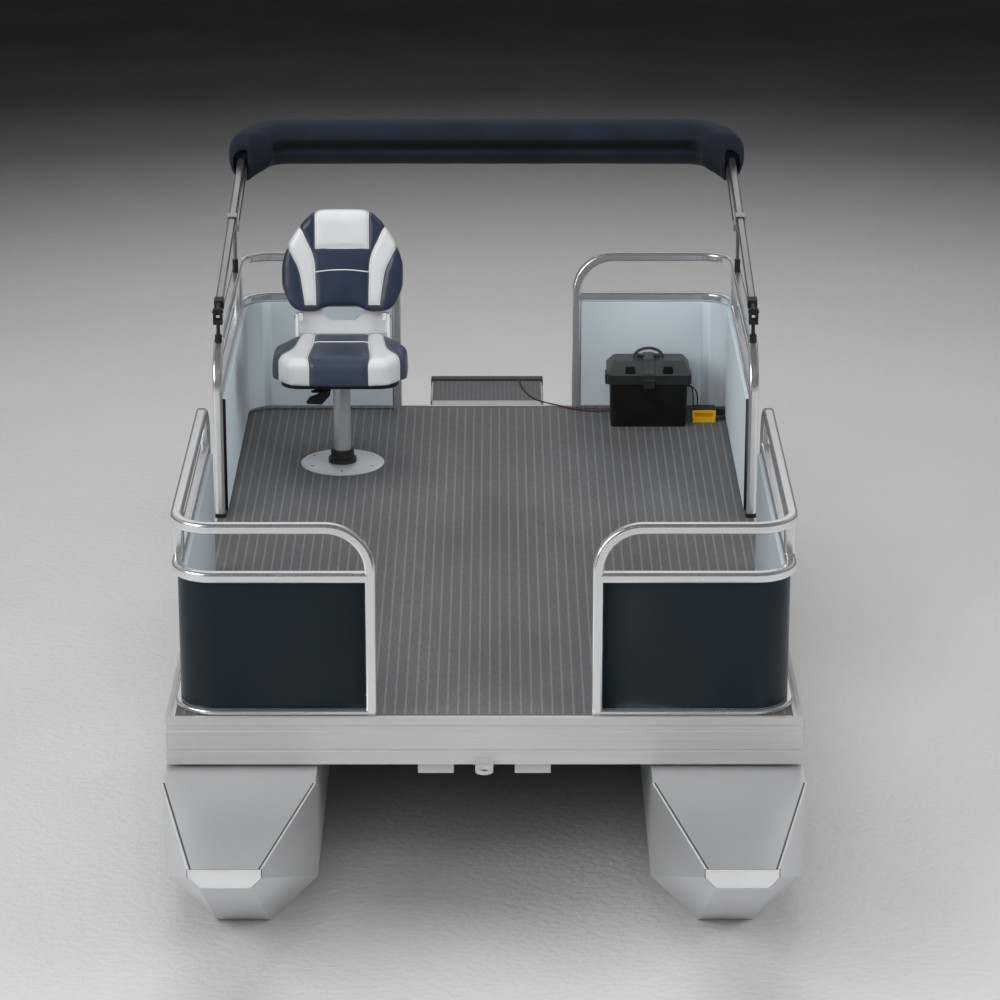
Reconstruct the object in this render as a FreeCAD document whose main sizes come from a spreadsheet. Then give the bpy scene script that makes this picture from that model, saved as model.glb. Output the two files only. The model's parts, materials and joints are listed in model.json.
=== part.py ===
"""Compact pontoon boat: two folded aluminium floats, decked frame, rail sections and stowed top.

Millimetres. X to the boat's right as seen from the bow, Y from bow to stern, Z up. The origin is
on the floor, in the middle of the boat's length and width.
"""
import FreeCAD, Part
import math
import os
import re
import Sketcher

Vector = FreeCAD.Vector
Rotation = FreeCAD.Rotation
Placement = FreeCAD.Placement

os.makedirs("parts", exist_ok=True)
doc = FreeCAD.newDocument("pontoon_boat")

# Driving dimensions: name, millimetres or degrees, what it measures
SIZES = [
    ("beam", 1829, "overall width over the fascia"),
    ("deck_length", 2985, "fascia to fascia along the boat"),
    ("float_clear", 11, "float's top below the foot of the fascia"),
    ("deck_thickness", 20, "plywood with its vinyl"),
    ("fascia_height", 146, "depth of the perimeter extrusion"),
    ("fascia_wall", 4, "wall of the perimeter extrusion"),
    ("fascia_groove", 2, "depth of the grooves in its face"),
    ("upper_groove", 25, "upper groove below the top of the extrusion"),
    ("upper_groove_width", 20, "upper groove"),
    ("lower_groove", 100, "lower groove below the top of the extrusion"),
    ("lower_groove_width", 6, "lower groove"),
    ("fascia_flange", 13, "width of the flange over the deck edge"),
    ("fascia_lip", 28, "width of the flange turned in below"),
    ("flange_thickness", 2, "thickness of the flange over the deck edge"),
    ("member_height", 75, "depth of a cross-member"),
    ("member_width", 45, "flange of a cross-member"),
    ("member_wall", 4, "wall of a cross-member"),
    ("member_setback", 32, "deck edge to the first cross-member"),
    ("member_count", 8, "cross-members under the deck"),
    ("member_gap", 3, "end of a cross-member to the fascia"),
    ("riser_foot", 40, "foot of a riser on the float"),
    ("riser_wall", 5, "wall of a riser"),
    ("riser_spacing", 240, "distance between the two risers of a float"),
    ("riser_setback", 60, "riser end from the deck edge"),
    ("pontoon_width", 437, "width of a float"),
    ("pontoon_height", 462, "height of a float"),
    ("float_proud", 4, "float's side past the fascia"),
    ("chine_width", 140, "sideways run of the bottom's sloping plate"),
    ("chine_rise", 150, "rise of the bottom's sloping plate"),
    ("nose_reach", 705, "nose plate ahead of the deck"),
    ("nose_start", 110, "where the float's top starts to taper, ahead of the deck"),
    ("keel_start", 40, "where the float's level bottom starts, ahead of the deck"),
    ("nose_width", 195, "width of the nose plate"),
    ("nose_height", 50, "height of the nose plate"),
    ("nose_chamfer", 27, "cut corner of the nose plate"),
    ("pontoon_setback", 15, "float's rear end from the deck's rear edge"),
    ("stringer_spacing", 280, "centre to centre of the two stringers"),
    ("stringer_width", 104, "width of a stringer"),
    ("stringer_height", 90, "depth of a stringer"),
    ("tow_eye_width", 52, "width of the tow eye"),
    ("tow_eye_thickness", 8.5, "plate of the tow eye"),
    ("tow_eye_leg", 19, "leg of the tow eye on the fascia's face"),
    ("tow_eye_reach", 59, "tow eye's ring plate ahead of the fascia"),
    ("tow_hole", 28, "hole of the tow eye"),
    ("tow_hole_reach", 33, "hole of the tow eye ahead of the fascia"),
    ("pod_inset", 4, "pod's deck board in from each side of the pod"),
    ("pod_width", 414, "width of the motor pod"),
    ("pod_length", 345, "motor pod behind the deck"),
    ("pod_under", 485, "motor pod under the deck"),
    ("pod_depth", 400, "pod's transom below its deck board"),
    ("pod_front_height", 90, "front face of the pod"),
    ("pod_keel", 70, "level bottom of the pod"),
    ("transom_rake", 100, "how far the transom leans forward at its bottom"),
    ("cap_width", 42, "transom cap along the boat"),
    ("cap_rise", 6, "transom cap above the pod's deck board"),
    ("fence_inset", 20, "side fascia face to the rail's outer face"),
    ("fence_inset_end", 15, "end fascia face to the rail's outer face"),
    ("tube", 31.75, "rail tube across its flats"),
    ("tube_corner", 9, "rounded corner of the rail tube"),
    ("fence_height", 582, "top of the top rail above the deck"),
    ("mid_rail_height", 435, "top of the mid rail above the deck"),
    ("bottom_rail_height", 16, "bottom channel of a rail section"),
    ("plan_bend", 110, "rail centreline radius round the deck corner"),
    ("post_bend", 130, "rail centreline radius down into a post"),
    ("gate_clear", 615, "clear width of the bow and stern gates"),
    ("front_fence_length", 1231, "side run of a front rail section"),
    ("rear_fence_length", 1243, "side run of a rear rail section"),
    ("short_post_offset", 60, "short post behind the end of the corner bend"),
    ("panel_thickness", 24, "rail panel, from the middle of the tubes inwards"),
    ("panel_gap", 0.5, "panel clear of the tubes round it"),
    ("seat_inset", 417.5, "pedestal from the deck's left edge"),
    ("seat_setback", 660, "pedestal ahead of the deck's rear edge"),
    ("base_diameter", 288, "pedestal base plate"),
    ("base_rise", 7, "pedestal base plate's thickness"),
    ("base_rim", 2, "edge of the pedestal base plate"),
    ("base_bevel", 12, "sloping rim of the pedestal base plate"),
    ("bushing_diameter", 97, "foot of the pedestal bushing"),
    ("bushing_neck", 80, "neck of the pedestal bushing"),
    ("bushing_step", 14, "height of the bushing's foot"),
    ("bushing_chamfer", 4, "cut edges of the bushing"),
    ("bushing_height", 45, "pedestal bushing"),
    ("post_diameter", 60.3, "pedestal tube"),
    ("post_bore", 54, "inside of the pedestal tube"),
    ("post_top", 285, "top of the pedestal tube above the deck"),
    ("swivel_gap", 0.3, "running gap of the swivel"),
    ("swivel_pin", 53.4, "spigot of the swivel in the pedestal tube"),
    ("swivel_pin_length", 60, "length of that spigot"),
    ("mount_size", 180, "square plates of the seat mount"),
    ("mount_height", 36, "seat mount between post and pan"),
    ("mount_plate", 4, "plates of the seat mount"),
    ("collar_wall", 6, "seat mount's collar past the pedestal tube"),
    ("slide_rail", 16, "seat slide rail between the plates"),
    ("lever_thickness", 6, "swivel lever"),
    ("lever_root", 35, "swivel lever's root to the left of the pedestal"),
    ("lever_reach", 104, "swivel lever's tip to the left of the pedestal"),
    ("lever_front", 135, "swivel lever's tip ahead of the pedestal"),
    ("pan_width", 400, "moulded seat pan"),
    ("pan_length", 345, "moulded seat pan along the boat"),
    ("pan_thickness", 14, "moulded seat pan"),
    ("pan_rear", 165, "pan's rear edge behind the pedestal"),
    ("ear_thickness", 10, "hinge ears of the pan"),
    ("ear_half", 14, "half the width of an ear round its pin"),
    ("ear_gap", 1, "ear clear of the backrest shell"),
    ("cushion_width", 464, "seat cushion"),
    ("cushion_front", 225, "seat cushion ahead of the pedestal"),
    ("cushion_rear", 130, "seat cushion behind the pedestal"),
    ("cushion_height", 104, "seat cushion"),
    ("cushion_nose", 62, "front corners of the cushion, cut sideways"),
    ("cushion_cheek", 90, "front corners of the cushion, cut lengthways"),
    ("cushion_waist", 20, "where the cushion starts to narrow, ahead of the pedestal"),
    ("cushion_corner", 48, "rounded corners of the cushion's outline"),
    ("cushion_round", 38, "rounded edge of the seat cushion"),
    ("soft_gap", 0.3, "soft pieces clear of what carries them"),
    ("hinge_station", 175, "backrest hinge behind the pedestal"),
    ("hinge_height", 475, "backrest hinge above the deck"),
    ("back_tilt", 10, "backrest's lean, degrees"),
    ("tongue_width", 304, "lower part of the backrest shell"),
    ("tongue_drop", 62, "backrest shell below its hinge"),
    ("notch_width", 146, "hand hole in the backrest shell"),
    ("notch_round", 28, "hand hole's lower corners"),
    ("notch_drop", 30, "hand hole below the backrest pad"),
    ("back_bottom", 14, "backrest pad above the hinge"),
    ("back_top", 372, "top of the backrest above the hinge"),
    ("back_width", 424, "backrest pad"),
    ("back_top_width", 188, "flat top of the backrest pad"),
    ("shoulder_width", 300, "backrest pad at its shoulders"),
    ("shoulder_drop", 54, "shoulders below the backrest's top"),
    ("arm_width", 380, "backrest pad below its shoulders"),
    ("arm_drop", 118, "that place below the backrest's top"),
    ("widest_drop", 190, "widest place below the backrest's top"),
    ("widest_rise", 90, "where the pad narrows again, above its foot"),
    ("heel_in", 34, "pad's lower corner in from its side"),
    ("heel_rise", 8, "pad's lower corner above its foot"),
    ("sole_in", 82, "flat part of the pad's foot in from its side"),
    ("arch_start", 15, "where the arch over the hand hole starts, past the hole"),
    ("arch_ease", 17, "sloping side of that arch, inside the hole"),
    ("shell_inset", 14, "backrest shell in from the pad's edge"),
    ("back_front", 42, "backrest pad ahead of the hinge"),
    ("back_rear", 30, "backrest pad behind the hinge"),
    ("back_corner", 60, "rounded corners of the backrest's outline"),
    ("back_arch", 18, "rise of the pad's lower edge over the hand hole"),
    ("back_round", 26, "rounded edge of the backrest pad"),
    ("back_shell", 12, "backrest shell"),
    ("hinge_pin", 10, "backrest hinge pin"),
    ("pin_gap", 0.2, "hinge pin's hole, clear all round"),
    ("pin_proud", 4, "hinge pin past the ear"),
    ("ear_set", 2, "foot of an ear behind the cushion, and its head below the round"),
    ("ear_slope", 6, "front edge of an ear, sloping"),
    ("lug_size", 26, "hinge lug of the backrest shell"),
    ("lug_thickness", 14, "hinge lug of the backrest shell, sideways"),
    ("box_width", 274, "battery box across the boat"),
    ("box_depth", 184, "battery box along the boat"),
    ("box_height", 168, "battery box body"),
    ("box_wall", 4, "wall of the battery box"),
    ("box_inset", 337.5, "battery box's middle from the deck's right edge"),
    ("box_setback", 260, "front of the battery box ahead of the deck's rear edge"),
    ("box_corner", 14, "upright corners of the battery box"),
    ("box_taper", 4, "draft of the battery box at its foot"),
    ("lid_overhang", 10, "lid past the battery box"),
    ("lid_skirt", 34, "skirt of the lid"),
    ("lid_lap", 8, "skirt below the box's rim"),
    ("lid_rise", 38, "lid above its skirt"),
    ("lid_slope_side", 22, "inward run of the lid's ends"),
    ("lid_slope_front", 58, "inward run of the lid's front and back"),
    ("roof_inset", 16, "hollow of the lid's hood inside the box's walls"),
    ("lid_gap", 1.5, "lid skirt clear of the box"),
    ("band_width", 40, "raised band across the lid"),
    ("latch_drop", 13, "latch lip below the skirt"),
    ("latch_thickness", 6, "latch lip ahead of the skirt"),
    ("wing_length", 60, "strap wing on the lid's end"),
    ("wing_thickness", 10, "strap wing, sideways"),
    ("wing_drop", 20, "strap wing below the skirt"),
    ("recess_width", 34, "finger recess in the lid's front slope"),
    ("recess_offset", 67, "finger recess from the lid's middle"),
    ("recess_floor", 4, "finger recess above the skirt"),
    ("recess_depth", 24, "finger recess into the slope"),
    ("band_rise", 7, "raised band above the lid"),
    ("handle_span", 102, "carry handle, leg to leg"),
    ("handle_rise", 34, "carry handle above the lid"),
    ("handle_section", 10, "grip of the carry handle"),
    ("handle_ear", 25, "ear inside each leg of the handle"),
    ("ear_rise", 12, "ears above the lid"),
    ("handle_gap", 5.5, "ear clear of the handle's leg"),
    ("battery_width", 250, "battery across the boat"),
    ("battery_depth", 160, "battery along the boat"),
    ("battery_height", 186, "battery"),
    ("charger_width", 82, "yellow-fronted charger"),
    ("charger_depth", 62, "charger along the boat"),
    ("charger_height", 45, "charger's front"),
    ("charger_rise", 4, "charger's back above its front"),
    ("charger_round", 5, "upper edges of the charger"),
    ("slot_width", 64, "slot in the charger's face"),
    ("slot_height", 16, "slot in the charger's face"),
    ("slot_depth", 4, "slot in the charger's face"),
    ("slot_foot", 20, "slot above the deck"),
    ("plug_width", 36, "block on the charger's right side"),
    ("plug_depth", 34, "that block along the boat"),
    ("plug_height", 24, "that block"),
    ("plug_foot", 18, "that block above the deck"),
    ("charger_gap", 22, "charger beside the battery box"),
    ("charger_setback", 51, "charger's face behind the front of the battery box"),
    ("bow_tube", 25.4, "tube of the folding top's bows"),
    ("bow_corner", 7, "rounded corner of the bow tube"),
    ("bow_length", 1418, "main bow, pivot to crossbar"),
    ("bow_bend", 130, "main bow's bend"),
    ("bow_gap", 1, "clear space between the nested bows"),
    ("inner_inset", 10, "inner bow's legs inboard of the main bow's"),
    ("inner_bow_start", 770, "inner bow's end from the pivot"),
    ("slide_length", 36, "slide that carries the inner bow's end"),
    ("slide_wall", 4, "wall of that slide"),
    ("pivot_offset", 108, "bow pivot behind the front of the rear rail section"),
    ("pivot_height", 678, "bow pivot above the deck"),
    ("bow_angle", 9.2, "stowed bows' rise towards the stern, degrees"),
    ("pivot_pin", 8, "bow pivot pin"),
    ("eye_width", 12, "tongue of the bow's end fitting"),
    ("eye_length", 52, "pivot to the end of the bow tube"),
    ("eye_height", 22, "tongue of the bow's end fitting"),
    ("plug_wall", 3, "black plug past the bow's tube"),
    ("plug_length", 34, "black plug along the bow"),
    ("plug_stop", 4, "solid end of the plug"),
    ("jaw_wall", 9, "cheek of the deck hinge"),
    ("jaw_gap", 0.4, "cheek clear of the tongue"),
    ("jaw_size", 30, "cheek along the boat"),
    ("jaw_drop", 24, "cheeks below the pivot"),
    ("jaw_cap", 12, "cheeks above the pivot"),
    ("jaw_base", 16, "block under the cheeks"),
    ("pin_end", 3, "pivot pin past the cheeks"),
    ("stud_diameter", 12, "stud of the deck hinge"),
    ("knob_diameter", 24, "foot knob of the deck hinge"),
    ("knob_height", 18, "foot knob above the top rail"),
    ("boot_height", 158, "rolled canvas, thickness across the bows"),
    ("boot_depth", 150, "rolled canvas along the bows"),
    ("boot_proud", 10.5, "rolled canvas past the deck's edge"),
    ("boot_tail", 195, "rolled canvas down the legs from the crossbar"),
    ("boot_lift", 14, "middle of the rolled canvas above the main bow"),
    ("boot_corner", 60, "rounded corners of the rolled canvas"),
    ("boot_rake", 55, "canvas end set back at its top"),
    ("sleeve_width", 92, "end of the canvas sleeve, sideways"),
    ("sleeve_run", 64, "canvas sleeve, from its end to the full roll"),
    ("mouth_width", 74, "open mouth of the canvas sleeve"),
    ("mouth_height", 116, "open mouth of the canvas sleeve"),
    ("mouth_depth", 90, "open mouth of the canvas sleeve, along the leg"),
    ("boot_gap", 0.5, "canvas clear of the bows"),
    ("strut_diameter", 12, "rest strut under the stowed bows"),
    ("strut_setback", 295, "strut's foot ahead of the deck's rear edge"),
    ("strut_lean", 20, "strut's head behind its foot"),
    ("strut_socket", 20, "black socket and head of the strut"),
    ("socket_height", 46, "black socket of the strut above the top rail"),
    ("head_height", 50, "black head of the strut under the inner bow"),
    ("lead_diameter", 5, "twin lead from the battery box"),
    ("wire_diameter", 4.5, "leads from the battery box to the charger"),
]
NAMES = {name for name, value, note in SIZES}

# Sizes that follow from the driving ones; the stations count from the deck's front edge
DERIVED = {
    "deck_height": "(pontoon_height + float_clear + fascia_height - flange_thickness)",
    "pontoon_spacing": "(beam + 2 * float_proud - pontoon_width)",
    "boot_width": "(beam + 2 * boot_proud)",
    "seat_station": "(deck_length - seat_setback)",
    "seat_offset": "(beam / 2 - seat_inset)",
    "box_station": "(deck_length - box_setback)",
    "box_offset": "(beam / 2 - box_inset)",
    "strut_station": "(deck_length - strut_setback)",
    "pivot_station": "(deck_length - rear_fence_length + pivot_offset)",
}

sheet = doc.addObject("Spreadsheet::Sheet", "sizes")
for row, (name, value, note) in enumerate(SIZES, 1):
    sheet.set(f"A{row}", note)
    sheet.set(f"B{row}", str(value))
    sheet.setAlias(f"B{row}", name)
doc.recompute()

# Stations and levels that several pieces share, as expressions of the driving dimensions
BOW_EDGE = "((nose_reach - deck_length - pod_length) / 2)"
DECK_UNDER = "(deck_height - deck_thickness)"
MEMBER_UNDER = "(deck_height - deck_thickness - member_height)"
RAIL_X = "(beam / 2 - fence_inset - tube / 2)"
FRONT_Y = "(fence_inset_end + tube / 2)"
REAR_Y = "(deck_length - fence_inset_end - tube / 2)"
GATE_X = "(gate_clear / 2 + tube / 2)"
FRONT_END_Y = "(front_fence_length - tube / 2)"
REAR_START_Y = "(deck_length - rear_fence_length + tube / 2)"


def link(text):
    """The same expression with each size named as a cell of the sheet."""
    def cell(word):
        name = word.group()
        if name in DERIVED:
            return link(DERIVED[name])
        return "sizes." + name if name in NAMES else name
    return re.sub(r"[a-z_]+", cell, text)


def mm(text):
    """The value of an expression of the sheet's sizes."""
    return float(sheet.evalExpression(link(text)))


def station(text):
    """Y of a place given behind the deck's front edge."""
    return f"({BOW_EDGE} + {text})"


def level(text):
    """Z of a height given above the deck."""
    return f"(deck_height + {text})"


def place(item, x="0", y="0", z="0"):
    """Ties an object's place to the sheet."""
    item.setExpression(".Placement.Base.x", link(x))
    item.setExpression(".Placement.Base.y", link(y))
    item.setExpression(".Placement.Base.z", link(z))


def new_body(label, x="0", y="0", z="0"):
    body = doc.addObject("PartDesign::Body", label)
    body.Label = label
    body.AllowCompound = True
    place(body, x, y, z)
    return body


def outline(body, plane, loops, offset="0"):
    """A sketch of closed outlines on one of the body's planes, each corner tied to the sheet."""
    sketch = body.newObject("Sketcher::SketchObject", body.Label + "_outline")
    support = next(item for item in body.Origin.OriginFeatures if item.Role == plane)
    sketch.AttachmentSupport = [(support, "")]
    sketch.MapMode = "FlatFace"
    sketch.setExpression("AttachmentOffset.Base.z", link(offset))
    for corners in loops:
        first = sketch.GeometryCount
        spots = [Vector(mm(x), mm(y), 0) for x, y in corners]
        count = len(spots)
        for i in range(count):
            sketch.addGeometry(Part.LineSegment(spots[i], spots[(i + 1) % count]), False)
        for i in range(count):
            sketch.addConstraint(Sketcher.Constraint("Coincident", first + i, 2, first + (i + 1) % count, 1))
        for i, (x, y) in enumerate(corners):
            for axis, text, value in (("DistanceX", x, spots[i].x), ("DistanceY", y, spots[i].y)):
                if text == "0":
                    line = -2 if axis == "DistanceX" else -1
                    sketch.addConstraint(Sketcher.Constraint("PointOnObject", first + i, 1, line))
                else:
                    number = sketch.addConstraint(Sketcher.Constraint(axis, -1, 1, first + i, 1, value))
                    sketch.setExpression(f"Constraints[{number}]", link(text))
    return sketch


def pad(body, sketch, length, both_ways=False, reverse=False):
    feature = body.newObject("PartDesign::Pad", body.Label + "_pad")
    feature.Profile = sketch
    feature.setExpression("Length", link(length))
    feature.Midplane = both_ways
    feature.Reversed = reverse
    doc.recompute()
    return feature


def pocket(body, sketch, length, both_ways=False, reverse=False):
    before = body.Tip.Shape.Volume
    feature = body.newObject("PartDesign::Pocket", body.Label + "_pocket")
    feature.Profile = sketch
    feature.setExpression("Length", link(length))
    feature.Midplane = both_ways
    feature.Reversed = reverse
    doc.recompute()
    if feature.Shape.Volume >= before:
        raise RuntimeError(body.Label + ": the pocket cuts nothing")
    return feature


def drill(body, plane, x, y, radius, depth):
    """A round hole through the body, its centre and radius tied to the sheet."""
    sketch = body.newObject("Sketcher::SketchObject", body.Label + "_hole")
    support = next(item for item in body.Origin.OriginFeatures if item.Role == plane)
    sketch.AttachmentSupport = [(support, "")]
    sketch.MapMode = "FlatFace"
    sketch.addGeometry(Part.Circle(Vector(mm(x), mm(y), 0), Vector(0, 0, 1), mm(radius)), False)
    ties = [("DistanceY", (-1, 1, 0, 3), y), ("Radius", (0,), radius)]
    if x == "0":
        sketch.addConstraint(Sketcher.Constraint("PointOnObject", 0, 3, -2))
    else:
        ties.append(("DistanceX", (-1, 1, 0, 3), x))
    for kind, ends, text in ties:
        number = sketch.addConstraint(Sketcher.Constraint(kind, *ends, mm(text)))
        sketch.setExpression(f"Constraints[{number}]", link(text))
    pocket(body, sketch, depth, both_ways=True)


def round_edges(body, feature, radius, wanted):
    """Rounds the edges of a feature that the test picks."""
    names = [f"Edge{i}" for i, edge in enumerate(feature.Shape.Edges, 1) if wanted(edge)]
    fillet = body.newObject("PartDesign::Fillet", body.Label + "_round")
    fillet.Base = (feature, names)
    fillet.setExpression("Radius", link(radius))
    doc.recompute()
    return fillet


def runs_along(edge, axis):
    """True for a straight edge along the axis."""
    if edge.Curve.TypeId != "Part::GeomLine":
        return False
    return abs(edge.tangentAt(edge.FirstParameter).dot(axis)) > 0.999


def box(label, size, x, y, z):
    item = doc.addObject("Part::Box", label)
    item.Label = label
    for side, text in zip(("Length", "Width", "Height"), size):
        item.setExpression(side, link(text))
    place(item, x, y, z)
    return item


def shape_of(label, shape, spot=None):
    """A sub-part whose shape is worked out from the sheet's sizes."""
    item = doc.addObject("Part::Feature", label)
    item.Label = label
    item.Shape = shape
    if spot:
        item.Placement = spot
    return item


def rectangle(x0, x1, y0, y1):
    return [(x0, y0), (x1, y0), (x1, y1), (x0, y1)]


def arc_path(points, radii):
    """A wire of straight runs whose corners are rounded to the given radii."""
    edges = []
    start = points[0]
    for i in range(1, len(points) - 1):
        before = (points[i - 1] - points[i]).normalize()
        after = (points[i + 1] - points[i]).normalize()
        half_turn = (math.pi - before.getAngle(after)) / 2
        reach = radii[i - 1] * math.tan(half_turn)
        into = points[i] + before * reach
        out = points[i] + after * reach
        middle = (before + after).normalize()
        centre = points[i] + middle * (radii[i - 1] / math.cos(half_turn))
        edges.append(Part.makeLine(start, into))
        edges.append(Part.Arc(into, centre - middle * radii[i - 1], out).toShape())
        start = out
    edges.append(Part.makeLine(start, points[-1]))
    return Part.Wire(edges)


def rounded_section(centre, direction, width, depth, corner):
    """A rounded rectangle across a run that goes along X, Y or Z; depth is the upright side."""
    w = width / 2
    d = depth / 2
    r = corner
    k = r * (1 - math.sqrt(0.5))
    corners = [(w, d), (-w, d), (-w, -d), (w, -d)]
    edges = []
    for i, (x, y) in enumerate(corners):
        sx = math.copysign(1, x)
        sy = math.copysign(1, y)
        on_side = Vector(x, y - sy * r, 0)
        on_top = Vector(x - sx * r, y, 0)
        through = Vector(x - sx * k, y - sy * k, 0)
        first, last = (on_side, on_top) if i % 2 == 0 else (on_top, on_side)
        if edges:
            edges.append(Part.makeLine(end, first))
        edges.append(Part.Arc(first, through, last).toShape())
        end = last
    edges.append(Part.makeLine(end, edges[0].valueAt(edges[0].FirstParameter)))
    section = Part.Wire(edges)
    if abs(direction.x) > 0.5:
        turn = Rotation(Vector(0, 1, 0), Vector(0, 0, 1), direction, "YZX")
    elif abs(direction.y) > 0.5:
        turn = Rotation(Vector(1, 0, 0), Vector(0, 0, 1), direction, "XZY")
    else:
        turn = Rotation()
    section.Placement = Placement(centre, turn)
    return section


def bent_tube(points, radii, width, depth, corner):
    """A rounded-square tube bent along a route."""
    path = arc_path(points, radii)
    direction = (points[1] - points[0]).normalize()
    return path.makePipeShell([rounded_section(points[0], direction, width, depth, corner)], True, False)


# Floats: a folded log with a flat top, upright walls, sloping chines and a tapered, raked nose
def log_section(half_width, height, chamfer, rise, y_top, y_foot, x):
    """One cross-section of a float; it leans when its foot lies further aft than its top."""
    top = mm("pontoon_height")
    corners = [(-half_width, 0), (half_width, 0), (half_width, height - rise),
               (half_width - chamfer, height), (chamfer - half_width, height), (-half_width, height - rise)]
    lean = (y_foot - y_top) / height
    spots = [Vector(x + sideways, y_top + lean * down, top - down) for sideways, down in corners]
    return Part.makePolygon(spots + spots[:1])


def pontoon(side):
    x = side * mm("pontoon_spacing / 2")
    edge = mm(BOW_EDGE)
    chine = mm("chine_width")
    rise = mm("chine_rise")
    log = (mm("pontoon_width / 2"), mm("pontoon_height"), chine, rise)
    cut = mm("nose_chamfer")
    nose = (mm("nose_width / 2"), mm("nose_height"), cut, cut * rise / chine)
    tip = edge - mm("nose_reach")
    stern = edge + mm("deck_length - pontoon_setback")
    sections = [
        log_section(*log, stern, stern, x),
        log_section(*log, edge - mm("nose_start"), edge - mm("keel_start"), x),
        log_section(*nose, tip, tip, x),
    ]
    return Part.makeLoft(sections, True, True)


for name, side in (("pontoon_left", -1), ("pontoon_right", 1)):
    shape_of(name, pontoon(side))


# Risers: two angles on each float, from end to end, that carry the cross-members
risers = new_body("risers", y=station("riser_setback"), z="pontoon_height")
riser_height = "(deck_height - deck_thickness - member_height - pontoon_height)"
angles = []
for side in (-1, 1):
    for edge in (-1, 1):
        foot = f"({side} * pontoon_spacing / 2 + {edge} * riser_spacing / 2)"
        toe = f"({foot} + {edge} * riser_foot)"
        face = f"({foot} + {edge} * riser_wall)"
        angles.append([
            (foot, "0"), (toe, "0"), (toe, "riser_wall"), (face, "riser_wall"), (face, riser_height),
            (foot, riser_height),
        ])
pad(risers, outline(risers, "XZ_Plane", angles), "deck_length - 2 * riser_setback", reverse=True)

# Cross-members: channels right across the boat, evenly spaced
members = new_body("cross_members", y=station("member_setback"), z=MEMBER_UNDER)
channel = outline(members, "YZ_Plane", [[
    ("0", "0"), ("member_width", "0"), ("member_width", "member_wall"), ("member_wall", "member_wall"),
    ("member_wall", "(member_height - member_wall)"), ("member_width", "(member_height - member_wall)"),
    ("member_width", "member_height"), ("0", "member_height"),
]])
first_member = pad(members, channel, "beam - 2 * (fascia_wall + member_gap)", both_ways=True)
row_of_members = members.newObject("PartDesign::LinearPattern", "member_row")
row_of_members.Originals = [first_member]
row_of_members.Direction = (channel, ["H_Axis"])
row_of_members.setExpression("Length", link("deck_length - 2 * member_setback - member_width"))
row_of_members.setExpression("Occurrences", link("member_count"))
members.Tip = row_of_members
doc.recompute()

# Stringers: two box beams under the cross-members from the bow to the motor pod
stringers = new_body("stringers", y=station("member_setback"), z=MEMBER_UNDER)
beams = [rectangle(f"({side} * stringer_spacing / 2 - stringer_width / 2)",
                   f"({side} * stringer_spacing / 2 + stringer_width / 2)", "-stringer_height", "0")
         for side in (-1, 1)]
pad(stringers, outline(stringers, "XZ_Plane", beams), "deck_length - member_setback - pod_under",
    reverse=True)

# Deck board: plywood covered with vinyl, inside the fascia
inside_length = "deck_length - 2 * fascia_wall"
inside_width = "beam - 2 * fascia_wall"
box("deck_board", (inside_width, inside_length, "deck_thickness"),
    "fascia_wall - beam / 2", station("fascia_wall"), DECK_UNDER)


# Fascia: a grooved extrusion round the deck with mitred corners
def fascia_ring():
    top = mm("deck_height + flange_thickness")
    bottom = mm("deck_height + flange_thickness - fascia_height")
    wall = mm("fascia_wall")
    groove = mm("fascia_groove")
    lip = mm("fascia_lip")
    flange = mm("fascia_flange")
    face = [(0, top)]
    for name in ("upper_groove", "lower_groove"):
        start = top - mm(name)
        stop = start - mm(name + "_width")
        face += [(0, start), (groove, start - groove), (groove, stop + groove), (0, stop)]
    face += [(0, bottom), (lip, bottom), (lip, bottom + wall), (wall, bottom + wall)]
    face += [(wall, mm("deck_height")), (flange, mm("deck_height")), (flange, top)]
    x = mm("beam / 2")
    front = mm(BOW_EDGE)
    rear = mm(station("deck_length"))
    corners = [(-x, front, 1, 1), (x, front, -1, 1), (x, rear, -1, -1), (-x, rear, 1, -1)]
    mitres = []
    for cx, cy, sx, sy in corners:
        spots = [Vector(cx + sx * inward, cy + sy * inward, z) for inward, z in face]
        mitres.append(Part.makePolygon(spots + spots[:1]))
    sides = [Part.makeLoft([mitres[i], mitres[(i + 1) % 4]], True, True) for i in range(4)]
    pod_gap = mm("fascia_wall")
    pod_half = mm("pod_width / 2") + pod_gap
    under = mm(MEMBER_UNDER) + pod_gap
    notch = Part.makeBox(2 * pod_half, mm("2 * fascia_lip"), under - bottom + pod_gap,
                         Vector(-pod_half, rear - mm("1.5 * fascia_lip"), bottom - pod_gap))
    return sides[0].fuse(sides[1:]).cut(notch).removeSplitter()


shape_of("fascia", fascia_ring())

# Tow eye: an angle on the foot of the bow fascia; its ring plate runs forward from under the fascia's lip
eye = new_body("tow_eye", y=station("0"), z=level("flange_thickness - fascia_height"))
eye_half = "tow_eye_width / 2"
ring_outline = outline(eye, "XY_Plane", [rectangle(f"-{eye_half}", eye_half, "-tow_eye_reach", "fascia_lip")])
ring_plate = pad(eye, ring_outline, "tow_eye_thickness", reverse=True)
ring_plate = round_edges(eye, ring_plate, "tow_eye_width / 2 - 1",
                         lambda edge: runs_along(edge, Vector(0, 0, 1)) and edge.CenterOfMass.y < 0)
eye_leg = outline(eye, "XZ_Plane", [rectangle(f"-{eye_half}", eye_half, "0", "tow_eye_leg")])
pad(eye, eye_leg, "tow_eye_thickness")
drill(eye, "XY_Plane", "0", "-tow_hole_reach", "tow_hole / 2", "tow_eye_thickness * 4")

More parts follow.
